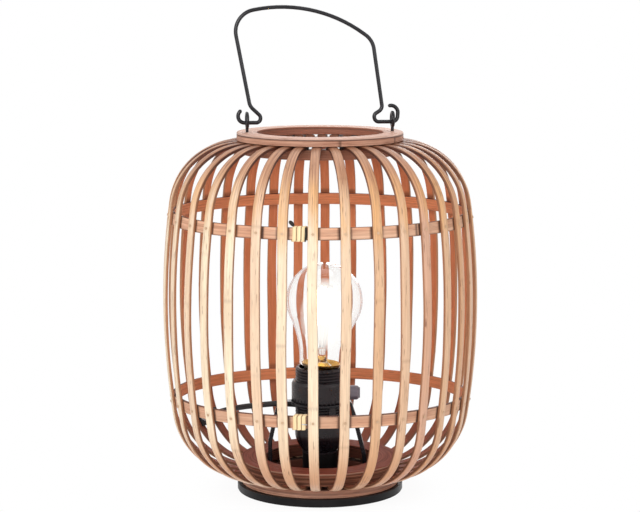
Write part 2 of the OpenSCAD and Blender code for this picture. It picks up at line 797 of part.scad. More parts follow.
module grip_collar() {
  bevel = 1.2;
  grooves = 40;
  groove_depth = 0.6;
  groove_width = 1.1;
  knurl_height = 4.2;
  color(holder_grey)
  difference() {
    translate([0, 0, collar_bottom_height]) rotate_extrude() polygon([
      [collar_bore_radius, 0], [collar_radius - bevel / 2, 0],
      [collar_radius, bevel], [collar_radius, collar_height - 2 * bevel],
      [collar_radius - bevel, collar_height], [collar_bore_radius, collar_height]
    ]);
    for (n = [0:grooves - 1]) rotate([0, 0, (n + 0.5) * 360 / grooves])
      translate([collar_radius - groove_depth, -groove_width / 2, collar_bottom_height - cut_over])
        cube([2 * groove_depth, groove_width, knurl_height + cut_over - groove_width]);
    translate([0, 0, knob_height]) rotate([0, 90, 0])
      cylinder(d = knob_stem + knob_stem_fit, h = collar_radius + cut_over, $fn = bore_sides);
  }
}

module screw_shell() {
  outer = shell_bore_radius + shell_wall;
  color(brass)
  difference() {
    translate([0, 0, shell_bottom_height])
      cylinder(r = outer, h = mouth_height - shell_top_gap - shell_bottom_height);
    translate([0, 0, shell_bottom_height + shell_wall]) cylinder(r = shell_bore_radius, h = mouth_height);
    translate([0, 0, shell_bottom_height - cut_over]) cylinder(r = shell_lip_radius, h = 3 * cut_over);
  }
}

// The springy strip from under the bulb's tip, out to the switch's cam
module contact_leaf() {
  base = floor_height + floor_thickness;
  outer = cam_face + cam_thickness / 2 + leaf_thickness / 2;
  tip = knob_height - cam_diameter / 2 - seat_gap;
  color(brass) {
    translate([-leaf_width, -leaf_width / 2, base]) cube([leaf_width + outer, leaf_width, leaf_thickness]);
    translate([outer - leaf_thickness, -leaf_width / 2, base])
      cube([leaf_thickness, leaf_width, tip - base]);
  }
}

module switch_knob() {
  round_radius = 2.6;
  ridge = 1.6;
  color(knob_grey) translate([0, 0, knob_height]) rotate([0, 90, 0]) {
    translate([0, 0, knob_face]) intersection() {
      rotate_extrude() union() {
        square([knob_diameter / 2, knob_length - round_radius]);
        square([knob_diameter / 2 - round_radius, knob_length]);
        translate([knob_diameter / 2 - round_radius, knob_length - round_radius]) circle(r = round_radius);
      }
      rotate([0, 0, 180 / knob_facets])
        cylinder(d = knob_diameter * knob_corner, h = knob_length, $fn = knob_facets);
    }
    translate([-knob_diameter / 2 + ridge, -ridge / 2, knob_face + knob_length - 0.4])
      cube([knob_diameter - 2 * ridge, ridge, 1]);
    translate([0, 0, cam_face]) cylinder(d = knob_stem, h = knob_face - cam_face + 0.5, $fn = bore_sides);
    translate([0, 0, cam_face]) cylinder(d = cam_diameter, h = cam_thickness, $fn = bore_sides);
  }
}

// ------------------------------------------------------------------- stay

module stay_bracket() {
  ring_inner = thread_radius + seat_gap;
  ring_bottom = stay_ring_height - strap_thickness / 2;
  color(wire_black)
  difference() {
    union() {
      translate([0, 0, ring_bottom]) ring(ring_inner + stay_ring_width, ring_inner, strap_thickness);
      for (leg = [stay_left, stay_right]) rotate([90, 0, 0])
        linear_extrude(height = strap_width, center = true) strip(leg, strap_thickness);
    }
    translate([0, 0, ring_bottom - cut_over]) cylinder(r = ring_inner, h = strap_thickness + 2 * cut_over);
    at_base_screws()
      cylinder(d = screw_shank + screw_fit, h = 4 * strap_thickness, center = true, $fn = bore_sides);
  }
}

module fixing_screws() {
  color(bright_steel) {
    translate([0, 0, tray_top_height]) {
      for (a = riser_screw_angles) rotate([0, 0, a])
        translate([riser_radius + flange_width / 2, 0, flange_thickness])
          screw(flange_thickness + tray_wall);
      for (foot = [stay_left[4].x, stay_right[4].x])
        translate([foot + sign(foot) * stay_screw_inset, 0, strap_thickness])
          screw(strap_thickness + tray_wall);
    }
    at_outlet() for (side = [-1, 1])
      translate([-outlet_setback - outlet_flange.x, side * outlet_screw_offset, 0]) rotate([0, -90, 0])
        screw(outlet_flange.x);
  }
}

// ------------------------------------------------------------------- lead

// Places a child in the outlet's gap between two ribs, with +X out of the cage
module at_outlet() {
  rotate([0, 0, gap_azimuth(outlet_gap) - 90]) translate([outlet_radius, 0, outlet_height])
    rotate([0, outlet_drop, 0]) children();
}

module cord_outlet() {
  color(base_black) at_outlet() difference() {
    union() {
      translate([-outlet_setback - outlet_flange.x, -outlet_flange.y / 2, -outlet_flange.z / 2])
        cube(outlet_flange);
      translate([-outlet_setback - outlet_flange.x, -outlet_neck.y / 2, -outlet_neck.z / 2])
        cube(outlet_neck);
    }
    rotate([0, 90, 0]) cylinder(d = outlet_bore, h = 4 * outlet_neck.x, center = true, $fn = bore_sides);
    for (side = [-1, 1]) translate([0, side * outlet_screw_offset, 0]) rotate([0, 90, 0])
      cylinder(d = screw_shank + screw_fit, h = 4 * outlet_flange.x, center = true, $fn = bore_sides);
  }
}

// A point on the smooth curve through p1 and p2, at t from 0 to 1
function smooth(p0, p1, p2, p3, t) =
  0.5 * (2 * p1 + (p2 - p0) * t + (2 * p0 - 5 * p1 + 4 * p2 - p3) * t * t
    + (3 * p1 - p0 - 3 * p2 + p3) * t * t * t);

module lead() {
  last = len(lead_route) - 1;
  function at(i) = lead_route[min(last, max(0, i))];
  centres = concat(
    [for (i = [0:last - 1]) for (s = [0:lead_steps - 1])
      smooth(at(i - 1), at(i), at(i + 1), at(i + 2), s / lead_steps)],
    [lead_route[last]]
  );
  end = len(centres) - 1;
  rings = [for (j = [0:end])
    let (
      tangent = centres[min(end, j + 1)] - centres[max(0, j - 1)],
      along = tangent / norm(tangent),
      level = cross([0, 0, 1], along),
      side = level / norm(level),
      up = cross(along, side)
    )
    [for (m = [0:lead_sides - 1])
      centres[j] + lead_diameter / 2 * (cos(360 * m / lead_sides) * side + sin(360 * m / lead_sides) * up)]
  ];
  color(base_black) skin(rings);
}

// ------------------------------------------------------------------- bulb

// Places a child in the bulb's own frame, leaning in its holder
module in_bulb() {
  translate([0, 0, bulb_pivot_height]) rotate([0, bulb_lean, 0]) children();
}

// The wall of the bulb's glass: its round top, its hollow neck and its tapered foot
module bulb_wall() {
  join_angle = atan2(-bulb_span, bulb_neck_radius + neck_arc);
  arc_band([0, bulb_centre], bulb_radius, glass_wall, join_angle, 90);
  arc_band([bulb_neck_radius + neck_arc, neck_height], neck_arc + glass_wall, glass_wall,
    180 + join_angle, 180);
  polygon([
    [cap_radius, cap_length / 2], [bulb_neck_radius, neck_height],
    [bulb_neck_radius - glass_wall, neck_height], [cap_radius - glass_wall, cap_length / 2]
  ]);
}

module bulb_glass() {
  color(clear_glass) in_bulb() rotate_extrude() bulb_wall();
}

module bulb_cap() {
  turn_height = (cap_length - 6) / cap_turns;
  root = cap_radius - cap_thread_depth;
  bottom = -cap_length / 2;
  color(brass) in_bulb() rotate_extrude() difference() {
    polygon(concat(
      [[0, bottom - 0.4], [3.4, bottom - 0.4], [4, bottom + 0.6], [root - 1.6, bottom + 1.6]],
      [for (n = [0:cap_turns - 1]) each [
        [root, bottom + 2 + n * turn_height],
        [cap_radius, bottom + 2 + (n + 0.5) * turn_height]
      ]],
      [[root, bottom + 2 + cap_turns * turn_height], [cap_radius, cap_length / 2 - 1],
       [cap_radius, cap_length / 2], [0, cap_length / 2]]
    ));
    translate([0, bottom + 3]) square([root - cap_wall, cap_length]);
  }
}

// The glass stem with its lead wires and the four glowing sticks
module bulb_filament() {
  stem_base = cap_length / 2 + slip_gap;
  flare_radius = cap_radius - glass_wall - seat_gap;
  stem_top = neck_height + 0.33 * bulb_radius;
  support_top = bulb_centre + 0.4 * bulb_radius;
  stick_bottom = bulb_centre - 0.65 * bulb_radius;
  stick_length = bulb_radius;
  color(glow_yellow) in_bulb() {
    translate([0, 0, stem_base]) cylinder(r1 = flare_radius, r2 = 4, h = 6);
    translate([0, 0, stem_base + 4]) cylinder(r = 3, h = stem_top - stem_base - 4);
    translate([0, 0, stem_top - 1]) cylinder(r = 1, h = support_top - stem_top + 1, $fn = wire_sides);
    for (a = [20:90:290]) rotate([0, 0, a]) {
      translate([5, 0, stick_bottom]) rotate([0, 5, 0]) cylinder(r = 1, h = stick_length, $fn = wire_sides);
      translate([0, 0, stick_bottom + 0.5]) rotate([0, 90, 0]) cylinder(r = 0.35, h = 5, $fn = wire_sides);
      translate([0, 0, support_top - 0.8]) rotate([0, 97, 0]) cylinder(r = 0.35, h = 7.6, $fn = wire_sides);
    }
  }
}

// ------------------------------------------------------------------ nodes

for (i = [1:rib_count]) rib(i);
base_pad();
base_tray();
ballast_weight();
bottom_lower_ring();
bottom_upper_ring();
bottom_ring_cap();
hoop(0);  // lower_hoop
hoop(1);  // upper_hoop
hoop_bindings();
rib_nails();
top_under_ring();
top_rim_band();
top_ring_cap();
screw_eyes();
bail_handle();
riser_tube();
riser_coupling();
holder_cup();
holder_sleeve();
grip_collar();
screw_shell();
contact_leaf();
switch_knob();
stay_bracket();
fixing_screws();
lead();
cord_outlet();
bulb_glass();
bulb_cap();
bulb_filament();
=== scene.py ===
"""Looks of the lantern table lamp: split cane ribs, turned rings, black fittings and a lit bulb."""

import logging
import math
import random
from dataclasses import dataclass, field
from enum import Enum
from typing import Callable, Sequence

import bpy
import bmesh
import numpy as np
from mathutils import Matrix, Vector


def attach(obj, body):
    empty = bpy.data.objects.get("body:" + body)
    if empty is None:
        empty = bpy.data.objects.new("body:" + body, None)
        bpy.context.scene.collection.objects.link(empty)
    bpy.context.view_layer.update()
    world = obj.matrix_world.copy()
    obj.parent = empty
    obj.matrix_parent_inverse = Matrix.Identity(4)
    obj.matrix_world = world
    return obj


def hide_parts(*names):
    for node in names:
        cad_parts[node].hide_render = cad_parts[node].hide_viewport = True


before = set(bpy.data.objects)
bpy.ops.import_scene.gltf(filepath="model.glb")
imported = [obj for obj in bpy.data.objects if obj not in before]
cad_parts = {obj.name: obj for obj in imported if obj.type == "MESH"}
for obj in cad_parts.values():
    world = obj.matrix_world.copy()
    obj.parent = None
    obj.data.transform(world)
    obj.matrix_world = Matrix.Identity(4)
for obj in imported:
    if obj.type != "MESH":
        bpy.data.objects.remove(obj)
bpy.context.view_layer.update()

MM = 0.001
LAMP_BODY = "lamp"
log = logging.getLogger("lantern")

Socket = bpy.types.NodeSocket
Tree = bpy.types.NodeTree
Piece = bpy.types.Object
Colour = tuple[float, float, float, float]
Pair = tuple[float, float]
Zone = Pair  # where a smooth step starts and ends
Spot = tuple[float, float, float]

BEND_STEP = 0.7  # millimetres between the points of a bent wire or strap


def srgb(red: int, green: int, blue: int) -> Colour:
    """Linear colour of an sRGB colour whose parts run from 0 to 255.

    Args:
        red: Its red part.
        green: Its green part.
        blue: Its blue part.

    Returns:
        The colour, with an alpha of 1.
    """
    parts = [c / 255 for c in (red, green, blue)]
    linear = [c / 12.92 if c <= 0.04045 else ((c + 0.055) / 1.055) ** 2.4 for c in parts]
    return (linear[0], linear[1], linear[2], 1.0)


# ---------------------------------------------------------------- shader graphs


class Graph:
    """Adds nodes to one node tree and links them."""

    def __init__(self, tree: Tree) -> None:
        """Keep the tree that the nodes go into."""
        self.tree = tree

    def node(self, kind: str, **settings: object) -> bpy.types.Node:
        """Add a node.

        Args:
            kind: The node's type without the ShaderNode prefix.
            **settings: Properties of the node.

        Returns:
            The new node.
        """
        made = self.tree.nodes.new("ShaderNode" + kind)
        for name, value in settings.items():
            setattr(made, name, value)
        made.location = (190 * (len(self.tree.nodes) % 12), -170 * (len(self.tree.nodes) // 12))
        return made

    def feed(self, socket: Socket, value: object) -> None:
        """Link a socket to the input, or set the input's own value.

        Args:
            socket: A node's input.
            value: A socket or a plain value.
        """
        if isinstance(value, Socket):
            self.tree.links.new(value, socket)
        else:
            socket.default_value = value

    def math(self, operation: str, first: object, second: object = 0.0, clamp: bool = False) -> Socket:
        """Add a Math node.

        Args:
            operation: Its operation, as Blender names it.
            first: A socket or a number.
            second: A socket or a number.
            clamp: Whether the result stays between 0 and 1.

        Returns:
            The result's socket.
        """
        made = self.node("Math", operation=operation, use_clamp=clamp)
        for socket, value in zip(made.inputs, (first, second)):
            self.feed(socket, value)
        return made.outputs[0]

    def plus(self, first: object, second: object) -> Socket:
        """First plus second."""
        return self.math("ADD", first, second)

    def minus(self, first: object, second: object) -> Socket:
        """First less second."""
        return self.math("SUBTRACT", first, second)

    def times(self, first: object, second: object) -> Socket:
        """First times second."""
        return self.math("MULTIPLY", first, second)

    def larger(self, first: object, second: object) -> Socket:
        """The larger of the two."""
        return self.math("MAXIMUM", first, second)

    def scaled(self, vector: object, by: Sequence[float]) -> Socket:
        """Multiply a vector by three numbers.

        Args:
            vector: A socket or three numbers.
            by: The three numbers.

        Returns:
            The scaled vector's socket.
        """
        made = self.node("VectorMath", operation="MULTIPLY")
        self.feed(made.inputs[0], vector)
        made.inputs[1].default_value = tuple(by)
        return made.outputs[0]

    def mix(self, factor: object, first: object, second: object) -> Socket:
        """Mix two colours.

        Args:
            factor: A socket or a number from 0 to 1.
            first: The colour at 0.
            second: The colour at 1.

        Returns:
            The mixed colour's socket.
        """
        made = self.node("Mix", data_type="RGBA", blend_type="MIX", clamp_factor=True)
        self.feed(made.inputs["Factor"], factor)
        self.feed(made.inputs[6], first)
        self.feed(made.inputs[7], second)
        return made.outputs[2]

    def tinted(self, base: object, colour: object, amount: object, weight: object) -> Socket:
        """Lay a colour over another one by an amount times a weight."""
        return self.mix(self.times(amount, weight), base, colour)

    def ease(self, value: object, low: float, high: float, start: float = 0.0, end: float = 1.0) -> Socket:
        """Smooth step of a socket.

        Args:
            value: The socket.
            low: Where the step starts.
            high: Where the step ends.
            start: The result at low.
            end: The result at high.

        Returns:
            The result's socket.
        """
        made = self.node("MapRange", interpolation_type="SMOOTHSTEP")
        for name, number in (("From Min", low), ("From Max", high), ("To Min", start), ("To Max", end)):
            made.inputs[name].default_value = number
        self.feed(made.inputs["Value"], value)
        return made.outputs["Result"]

    def noise(self, vector: object, scale: float, detail: float = 2.0, roughness: float = 0.5) -> Socket:
        """Add a noise.

        Args:
            vector: Where it is read.
            scale: Its frequency.
            detail: Its octaves.
            roughness: How strong the finer octaves are.

        Returns:
            The noise's value, from 0 to 1.
        """
        made = self.node("TexNoise")
        self.feed(made.inputs["Vector"], vector)
        for name, number in (("Scale", scale), ("Detail", detail), ("Roughness", roughness)):
            made.inputs[name].default_value = number
        return made.outputs["Fac"]

    def drawn(self, parts: Sequence[object], scales: Spot, detail: float, roughness: float = 0.5) -> Socket:
        """Add a noise that is drawn out by its own frequency in each direction.

        Args:
            parts: The three parts of the place where it is read.
            scales: Its frequency along each.
            detail: Its octaves.
            roughness: How strong the finer octaves are.

        Returns:
            The noise's value, from 0 to 1.
        """
        return self.noise(self.scaled(self.join(*parts), scales), 1.0, detail, roughness)

    def split(self, vector: object) -> tuple[Socket, ...]:
        """The three parts of a vector.

        Args:
            vector: A socket or three numbers.

        Returns:
            The sockets of x, y and z.
        """
        made = self.node("SeparateXYZ")
        self.feed(made.inputs[0], vector)
        return tuple(made.outputs[:3])

    def join(self, x: object, y: object, z: object) -> Socket:
        """A vector made of three parts.

        Args:
            x: A socket or a number.
            y: A socket or a number.
            z: A socket or a number.

        Returns:
            The vector's socket.
        """
        made = self.node("CombineXYZ")
        for socket, value in zip(made.inputs, (x, y, z)):
            self.feed(socket, value)
        return made.outputs[0]

    def attribute(self, name: str, output: str = "Vector") -> Socket:
        """A value that the mesh holds at its points."""
        return self.node("Attribute", attribute_name=name).outputs[output]

    def place(self) -> Socket:
        """The place on the piece, in metres."""
        return self.node("TexCoord").outputs["Object"]

    def bump(self, height: object, distance: float) -> Socket:
        """Turn a height, of which 1 stands for a distance in metres, into a normal.

        Args:
            height: A socket or a number.
            distance: The distance in metres.

        Returns:
            The normal's socket.
        """
        made = self.node("Bump")
        made.inputs["Distance"].default_value = distance
        made.inputs["Strength"].default_value = 1.0
        self.feed(made.inputs["Height"], height)
        return made.outputs["Normal"]

    def group(self, tree: Tree, outputs: Sequence[str], **inputs: object) -> list[Socket]:
        """Add a node group.

        Args:
            tree: The group.
            outputs: The names of the values that are wanted.
            **inputs: Its inputs.

        Returns:
            The sockets of those values.
        """
        made = self.node("Group")
        made.node_tree = tree
        for name, value in inputs.items():
            self.feed(made.inputs[name], value)
        return [made.outputs[name] for name in outputs]

    def shown(self, shader: Socket, kind: str = "Material") -> None:
        """Link a shader to the surface that is drawn."""
        self.tree.links.new(shader, self.node("Output" + kind).inputs["Surface"])


class Effect:
    """A node group that several finishes share, with named sockets."""

    def __init__(self, name: str, inputs: dict[str, tuple[str, object]], outputs: Sequence[str]) -> None:
        """Make the empty group.

        Args:
            name: The group's name.
            inputs: For each input its kind and its usual value.
            outputs: The names of its values.
        """
        self.tree = bpy.data.node_groups.new(name, "ShaderNodeTree")
        face = self.tree.interface
        for label, (kind, usual) in inputs.items():
            made = face.new_socket(name=label, in_out="INPUT", socket_type="NodeSocket" + kind)
            if usual is not None:
                made.default_value = usual
        for label in outputs:
            face.new_socket(name=label, in_out="OUTPUT", socket_type="NodeSocketFloat")
        self.graph = Graph(self.tree)
        self.inputs = self.tree.nodes.new("NodeGroupInput").outputs
        self.outputs = self.tree.nodes.new("NodeGroupOutput").inputs

    def give(self, **values: Socket) -> Tree:
        """Link the group's outputs and return the group.

        Args:
            **values: A socket for each output.

        Returns:
            The group.
        """
        for name, value in values.items():
            self.tree.links.new(value, self.outputs[name])
        return self.tree


def cane_fibre() -> Tree:
    """Long fibres of split cane: fine streaks, broad blotches and short dark flecks.

    Returns:
        The node group.
    """
    made = Effect(
        "cane_fibre",
        {"Place": ("Vector", None), "Fineness": ("Float", 1.0)},
        ("Fibre", "Blotch", "Fleck"),
    )
    g = made.graph
    x, y, z = g.split(made.inputs["Place"])
    fine = g.times(z, made.inputs["Fineness"])
    streak = g.drawn((x, y, fine), (24, 24, 1200), detail=4.0, roughness=0.6)
    blotch = g.drawn((x, y, z), (21, 21, 120), detail=3.0, roughness=0.55)
    mark = g.drawn((x, y, fine), (70, 70, 1100), detail=2.0, roughness=0.6)
    return made.give(
        Fibre=g.ease(streak, 0.3, 0.7), Blotch=g.ease(blotch, 0.34, 0.66), Fleck=g.ease(mark, 0.62, 0.7)
    )


def laid_lines() -> Tree:
    """Dark joint lines between thin layers that run round a ring.

    Returns:
        The node group.
    """
    made = Effect(
        "laid_lines",
        {"Place": ("Vector", None), "Pitch": ("Float", 0.0013), "Drift": ("Float", 0.0009)},
        ("Line", "Layer"),
    )
    g = made.graph
    x, y, z = g.split(made.inputs["Place"])
    sway = g.drawn((x, y, z), (16, 16, 60), detail=2.0)
    drift = g.times(g.minus(sway, 0.5), made.inputs["Drift"])
    level = g.math("DIVIDE", g.plus(z, drift), made.inputs["Pitch"])
    near = g.math("ABSOLUTE", g.minus(g.math("FRACT", level), 0.5))
    here = g.drawn((x, y, g.math("FLOOR", level)), (34, 34, 7.3), detail=1.0)
    line = g.times(g.ease(near, 0.36, 0.47), g.ease(here, 0.38, 0.6))
    shade = g.drawn((x, y, g.math("FLOOR", level)), (6, 6, 5.1), detail=1.0)
    return made.give(Line=line, Layer=g.ease(shade, 0.3, 0.7))


def handled_wear() -> Tree:
    """Soft smudges and fine scratches of a surface that has been handled.

    Returns:
        The node group.
    """
    made = Effect(
        "handled_wear", {"Place": ("Vector", None), "Size": ("Float", 1.0)}, ("Smudge", "Scratch", "Stipple")
    )
    g = made.graph
    sized = g.node("VectorMath", operation="SCALE")
    g.feed(sized.inputs[0], made.inputs["Place"])
    g.feed(sized.inputs["Scale"], made.inputs["Size"])
    place = sized.outputs[0]
    smudge = g.noise(place, 60, detail=4.0, roughness=0.6)
    scratch = g.noise(g.scaled(place, (1, 1, 9)), 210, detail=3.0, roughness=0.7)
    stipple = g.noise(place, 1500, detail=1.0)
    return made.give(Smudge=g.ease(smudge, 0.35, 0.7), Scratch=g.ease(scratch, 0.6, 0.72), Stipple=stipple)


@dataclass
class Effects:
    """The shared node groups."""

    fibre: Tree = field(default_factory=cane_fibre)
    lines: Tree = field(default_factory=laid_lines)
    wear: Tree = field(default_factory=handled_wear)


# ---------------------------------------------------------------- finishes


@dataclass(frozen=True)
class Finish:
    """One surface finish."""

    name: str

    def paint(self, g: Graph, shader: bpy.types.Node, effects: Effects) -> None:
        """Set the shader. Each finish has its own.

        Args:
            g: The material's graph.
            shader: The shader that it sets.
            effects: The shared node groups.
        """
        raise NotImplementedError

    def material(self, effects: Effects) -> bpy.types.Material:
        """Make the finish's material.

        Args:
            effects: The shared node groups.

        Returns:
            The material.
        """
        made = bpy.data.materials.new(self.name)
        made.use_nodes = True
        made.node_tree.nodes.clear()
        g = Graph(made.node_tree)
        shader = g.node("BsdfPrincipled")
        self.paint(g, shader, effects)
        g.shown(shader.outputs[0])
        return made


def fix(shader: bpy.types.Node, **constants: object) -> None:
    """Set constants on a shader's own sockets, with _ for a space in their names."""
    for name, value in constants.items():
        shader.inputs[name.replace("_", " ")].default_value = value


@dataclass(frozen=True)
class CaneFinish(Finish):
    """Split cane: pale skin outside, terracotta pith inside, dark brown sides.

    A zone is two shares of the strip's length, from the rim to the foot, between which a tone changes.
    """

    brow: Colour = srgb(190, 138, 104)
    crown: Colour = srgb(216, 166, 132)
    belly: Colour = srgb(250, 232, 202)
    foot: Colour = srgb(218, 166, 126)
    # Painted highlight: the lit edge where the strip turns under at the foot.
    tip: Colour = srgb(255, 224, 196)
    honey: Colour = srgb(210, 152, 104)
    rosy: Colour = srgb(212, 158, 134)
    # Partly painted light: a warm, lighter band of blotches on the shoulder.
    flame_and_light: Colour = srgb(238, 180, 112)
    # Used for staining in the streaks and flecks, and for painted shade on the edges and in the marks of the
    # hoops and the rim.
    stain_and_shade: Colour = srgb(112, 62, 38)
    side: Colour = srgb(184, 130, 92)
    # Painted shade: the sides take this darker colour near the rim and the foot.
    side_shade: Colour = srgb(66, 32, 20)
    pith: Colour = srgb(230, 142, 96)
    pith_dark: Colour = srgb(188, 102, 60)
    # Painted shade: the pith takes this darker colour near the foot and just below the rim.
    pith_shade: Colour = srgb(130, 70, 52)
    brow_zone: Zone = (0.12, 0.22)
    crown_zone: Zone = (0.1, 0.32)
    flame_light_start: Zone = (0.15, 0.21)
    flame_light_end: Zone = (0.26, 0.36)
    foot_zone: Zone = (0.7, 0.86)
    tip_highlight_zone: Zone = (0.86, 0.92)
    streak_zone: Zone = (0.12, 0.32)
    pith_rim_shade_zone: Zone = (0.14, 0.24)
    pith_foot_shade_zone: Zone = (0.66, 0.84)
    # Painted shade along the strip's two edges.
    shaded_edge: Zone = (0.85, 0.98)
    honey_weight: float = 0.9
    rosy_weight: float = 0.85
    brow_weight: float = 0.6
    flame_light_weight: float = 0.7
    blotch_weight: float = 0.2
    streak_weights: Pair = (0.66, 0.25)
    fleck_weight: float = 0.6
    edge_weight: float = 0.4
    gap_weight: float = 0.45
    pith_foot_shade_weight: float = 0.85
    relief: float = 0.00016
    roughness: float = 0.44
    specular: float = 0.4

    def skin(self, g: Graph, along: Socket, honey: Socket, rosy: Socket, blotch: Socket) -> Socket:
        """The tone of the outside, before its streaks.

        Args:
            g: The material's graph.
            along: Share of the strip's length.
            honey: How honey-brown the strip is.
            rosy: How rosy it is.
            blotch: The broad blotches.

        Returns:
            The colour.
        """
        skin = g.mix(g.ease(along, *self.crown_zone, 1.0, 0.0), self.belly, self.crown)
        skin = g.mix(g.ease(along, *self.foot_zone), skin, self.foot)
        # A painted highlight where the strip turns under at the foot.
        skin = g.mix(g.ease(along, *self.tip_highlight_zone), skin, self.tip)
        skin = g.tinted(skin, self.honey, honey, self.honey_weight)
        skin = g.tinted(skin, self.rosy, rosy, self.rosy_weight)
        skin = g.mix(g.ease(along, *self.brow_zone, self.brow_weight, 0.0), skin, self.brow)
        # A warm, lighter band of blotches on the shoulder: partly the cane's own blotches, partly painted
        # light.
        lit = g.times(g.ease(along, *self.flame_light_start), g.ease(along, *self.flame_light_end, 1.0, 0.0))
        skin = g.tinted(skin, self.flame_and_light, g.times(lit, blotch), self.flame_light_weight)
        return g.tinted(skin, self.honey, blotch, self.blotch_weight)

    def paint(self, g: Graph, shader: bpy.types.Node, effects: Effects) -> None:
        """Colour by the place along and across the strip.

        Args:
            g: The material's graph.
            shader: The shader that it sets.
            effects: The shared node groups.
        """
        grain = {"Place": g.attribute("fibre_place"), "Fineness": 1.0}
        fibre, blotch, fleck = g.group(effects.fibre, ("Fibre", "Blotch", "Fleck"), **grain)
        along, across, honey = g.split(g.attribute("cane_tint"))
        # The middle part holds the dark marks: nails and scars, and painted shade of the hoops and the rim.
        inner, mark, rosy = g.split(g.attribute("cane_mark_and_shade"))
        flat = g.attribute("cane_side", "Fac")
        gap = g.minus(1.0, fibre)
        crowned = g.ease(along, *self.crown_zone, 1.0, 0.0)
        footed = g.ease(along, *self.pith_foot_shade_zone)
        skin = self.skin(g, along, honey, rosy, blotch)
        skin = g.tinted(skin, self.stain_and_shade, gap, g.ease(along, *self.streak_zone, *self.streak_weights))
        skin = g.tinted(skin, self.stain_and_shade, fleck, self.fleck_weight)
        # The strip's edges darken, more near the rim: painted shade.
        edge = g.ease(g.math("ABSOLUTE", across), *self.shaded_edge)
        skin = g.tinted(skin, self.stain_and_shade, edge, g.plus(g.times(crowned, self.edge_weight), self.edge_weight))
        pith = g.tinted(self.pith, self.pith_dark, blotch, 0.5)
        pith = g.tinted(pith, self.pith_dark, gap, self.gap_weight)
        # Painted shade on the pith near the foot and just below the rim.
        pith = g.tinted(pith, self.pith_shade, footed, self.pith_foot_shade_weight)
        pith = g.mix(g.ease(along, *self.pith_rim_shade_zone, 0.75, 0.0), pith, self.pith_shade)
        # The dark marks: nails and scars, and painted shade of the hoops and the rim.
        strip = g.mix(mark, g.mix(inner, skin, pith), self.stain_and_shade)
        # The sides darken near the rim and the foot: painted shade.
        side = g.mix(g.larger(crowned, g.times(footed, 0.75)), self.side, self.side_shade)
        side = g.tinted(side, self.stain_and_shade, gap, self.gap_weight)
        g.feed(shader.inputs["Base Color"], g.mix(flat, strip, side))
        gloss = g.plus(g.times(fibre, -0.1), self.roughness)
        g.feed(shader.inputs["Roughness"], g.plus(gloss, g.times(inner, 0.22)))
        relief = g.minus(g.times(fibre, 0.6), g.times(fleck, 0.7))
        g.feed(shader.inputs["Normal"], g.bump(relief, self.relief))
        fix(shader, Specular_IOR_Level=self.specular)


@dataclass(frozen=True)
class RingFinish(Finish):
    """Bent wood laid up in thin layers, stained."""

    body: Colour = srgb(200, 148, 122)
    deep: Colour = srgb(118, 68, 50)
    pale: Colour = srgb(220, 174, 148)
    inside: Colour = srgb(150, 96, 76)
    upper: Colour = srgb(218, 172, 150)
    # Dark seams and joint lines, and the painted contact shadow beside the strips.
    seam: Colour = srgb(50, 25, 17)
    # The colour of the pale lines: painted highlight.
    glint: Colour = srgb(246, 210, 190)
    pitch: float = 0.0013
    drift: float = 0.0009
    line_weight: float = 0.8
    layer_weight: float = 0.35
    streak_weight: float = 0.34
    fleck_weight: float = 0.42
    relief: float = 0.00022
    roughness: float = 0.58
    specular: float = 0.22

    def paint(self, g: Graph, shader: bpy.types.Node, effects: Effects) -> None:
        """Streaks along the ring, lines between its layers, other tones inside and on top.

        Args:
            g: The material's graph.
            shader: The shader that it sets.
            effects: The shared node groups.
        """
        place = g.attribute("fibre_place")
        grain = {"Place": place, "Fineness": 0.8}
        fibre, blotch, fleck = g.group(effects.fibre, ("Fibre", "Blotch", "Fleck"), **grain)
        laid = {"Place": place, "Pitch": self.pitch, "Drift": self.drift}
        line, layer = g.group(effects.lines, ("Line", "Layer"), **laid)
        inward, up, mark = g.split(g.attribute("ring_face"))
        wood = g.tinted(self.body, self.pale, blotch, 0.6)
        wood = g.tinted(wood, self.deep, layer, self.layer_weight)
        wood = g.mix(g.ease(inward, 0.4, 0.8), wood, self.inside)
        wood = g.mix(g.ease(up, 0.5, 0.9), wood, self.upper)
        wood = g.tinted(wood, self.deep, g.minus(1.0, fibre), self.streak_weight)
        laid_dark = g.times(g.times(line, self.line_weight), g.ease(up, 0.3, 0.8, 1.0, 0.25))
        dark = g.larger(laid_dark, g.times(fleck, self.fleck_weight))
        # Pale lines: painted highlight.
        bright = g.math("MULTIPLY", mark, -1.0, clamp=True)
        wood = g.mix(bright, g.mix(dark, wood, self.deep), self.glint)
        # Dark marks: seams, joint lines, and staining with painted contact shadow beside the strips.
        mark = g.larger(mark, 0.0)
        g.feed(shader.inputs["Base Color"], g.mix(mark, wood, self.seam))
        g.feed(shader.inputs["Roughness"], g.plus(g.times(fibre, -0.1), self.roughness))
        relief = g.minus(g.times(fibre, 0.35), g.larger(dark, mark))
        g.feed(shader.inputs["Normal"], g.bump(relief, self.relief))
        fix(shader, Specular_IOR_Level=self.specular)


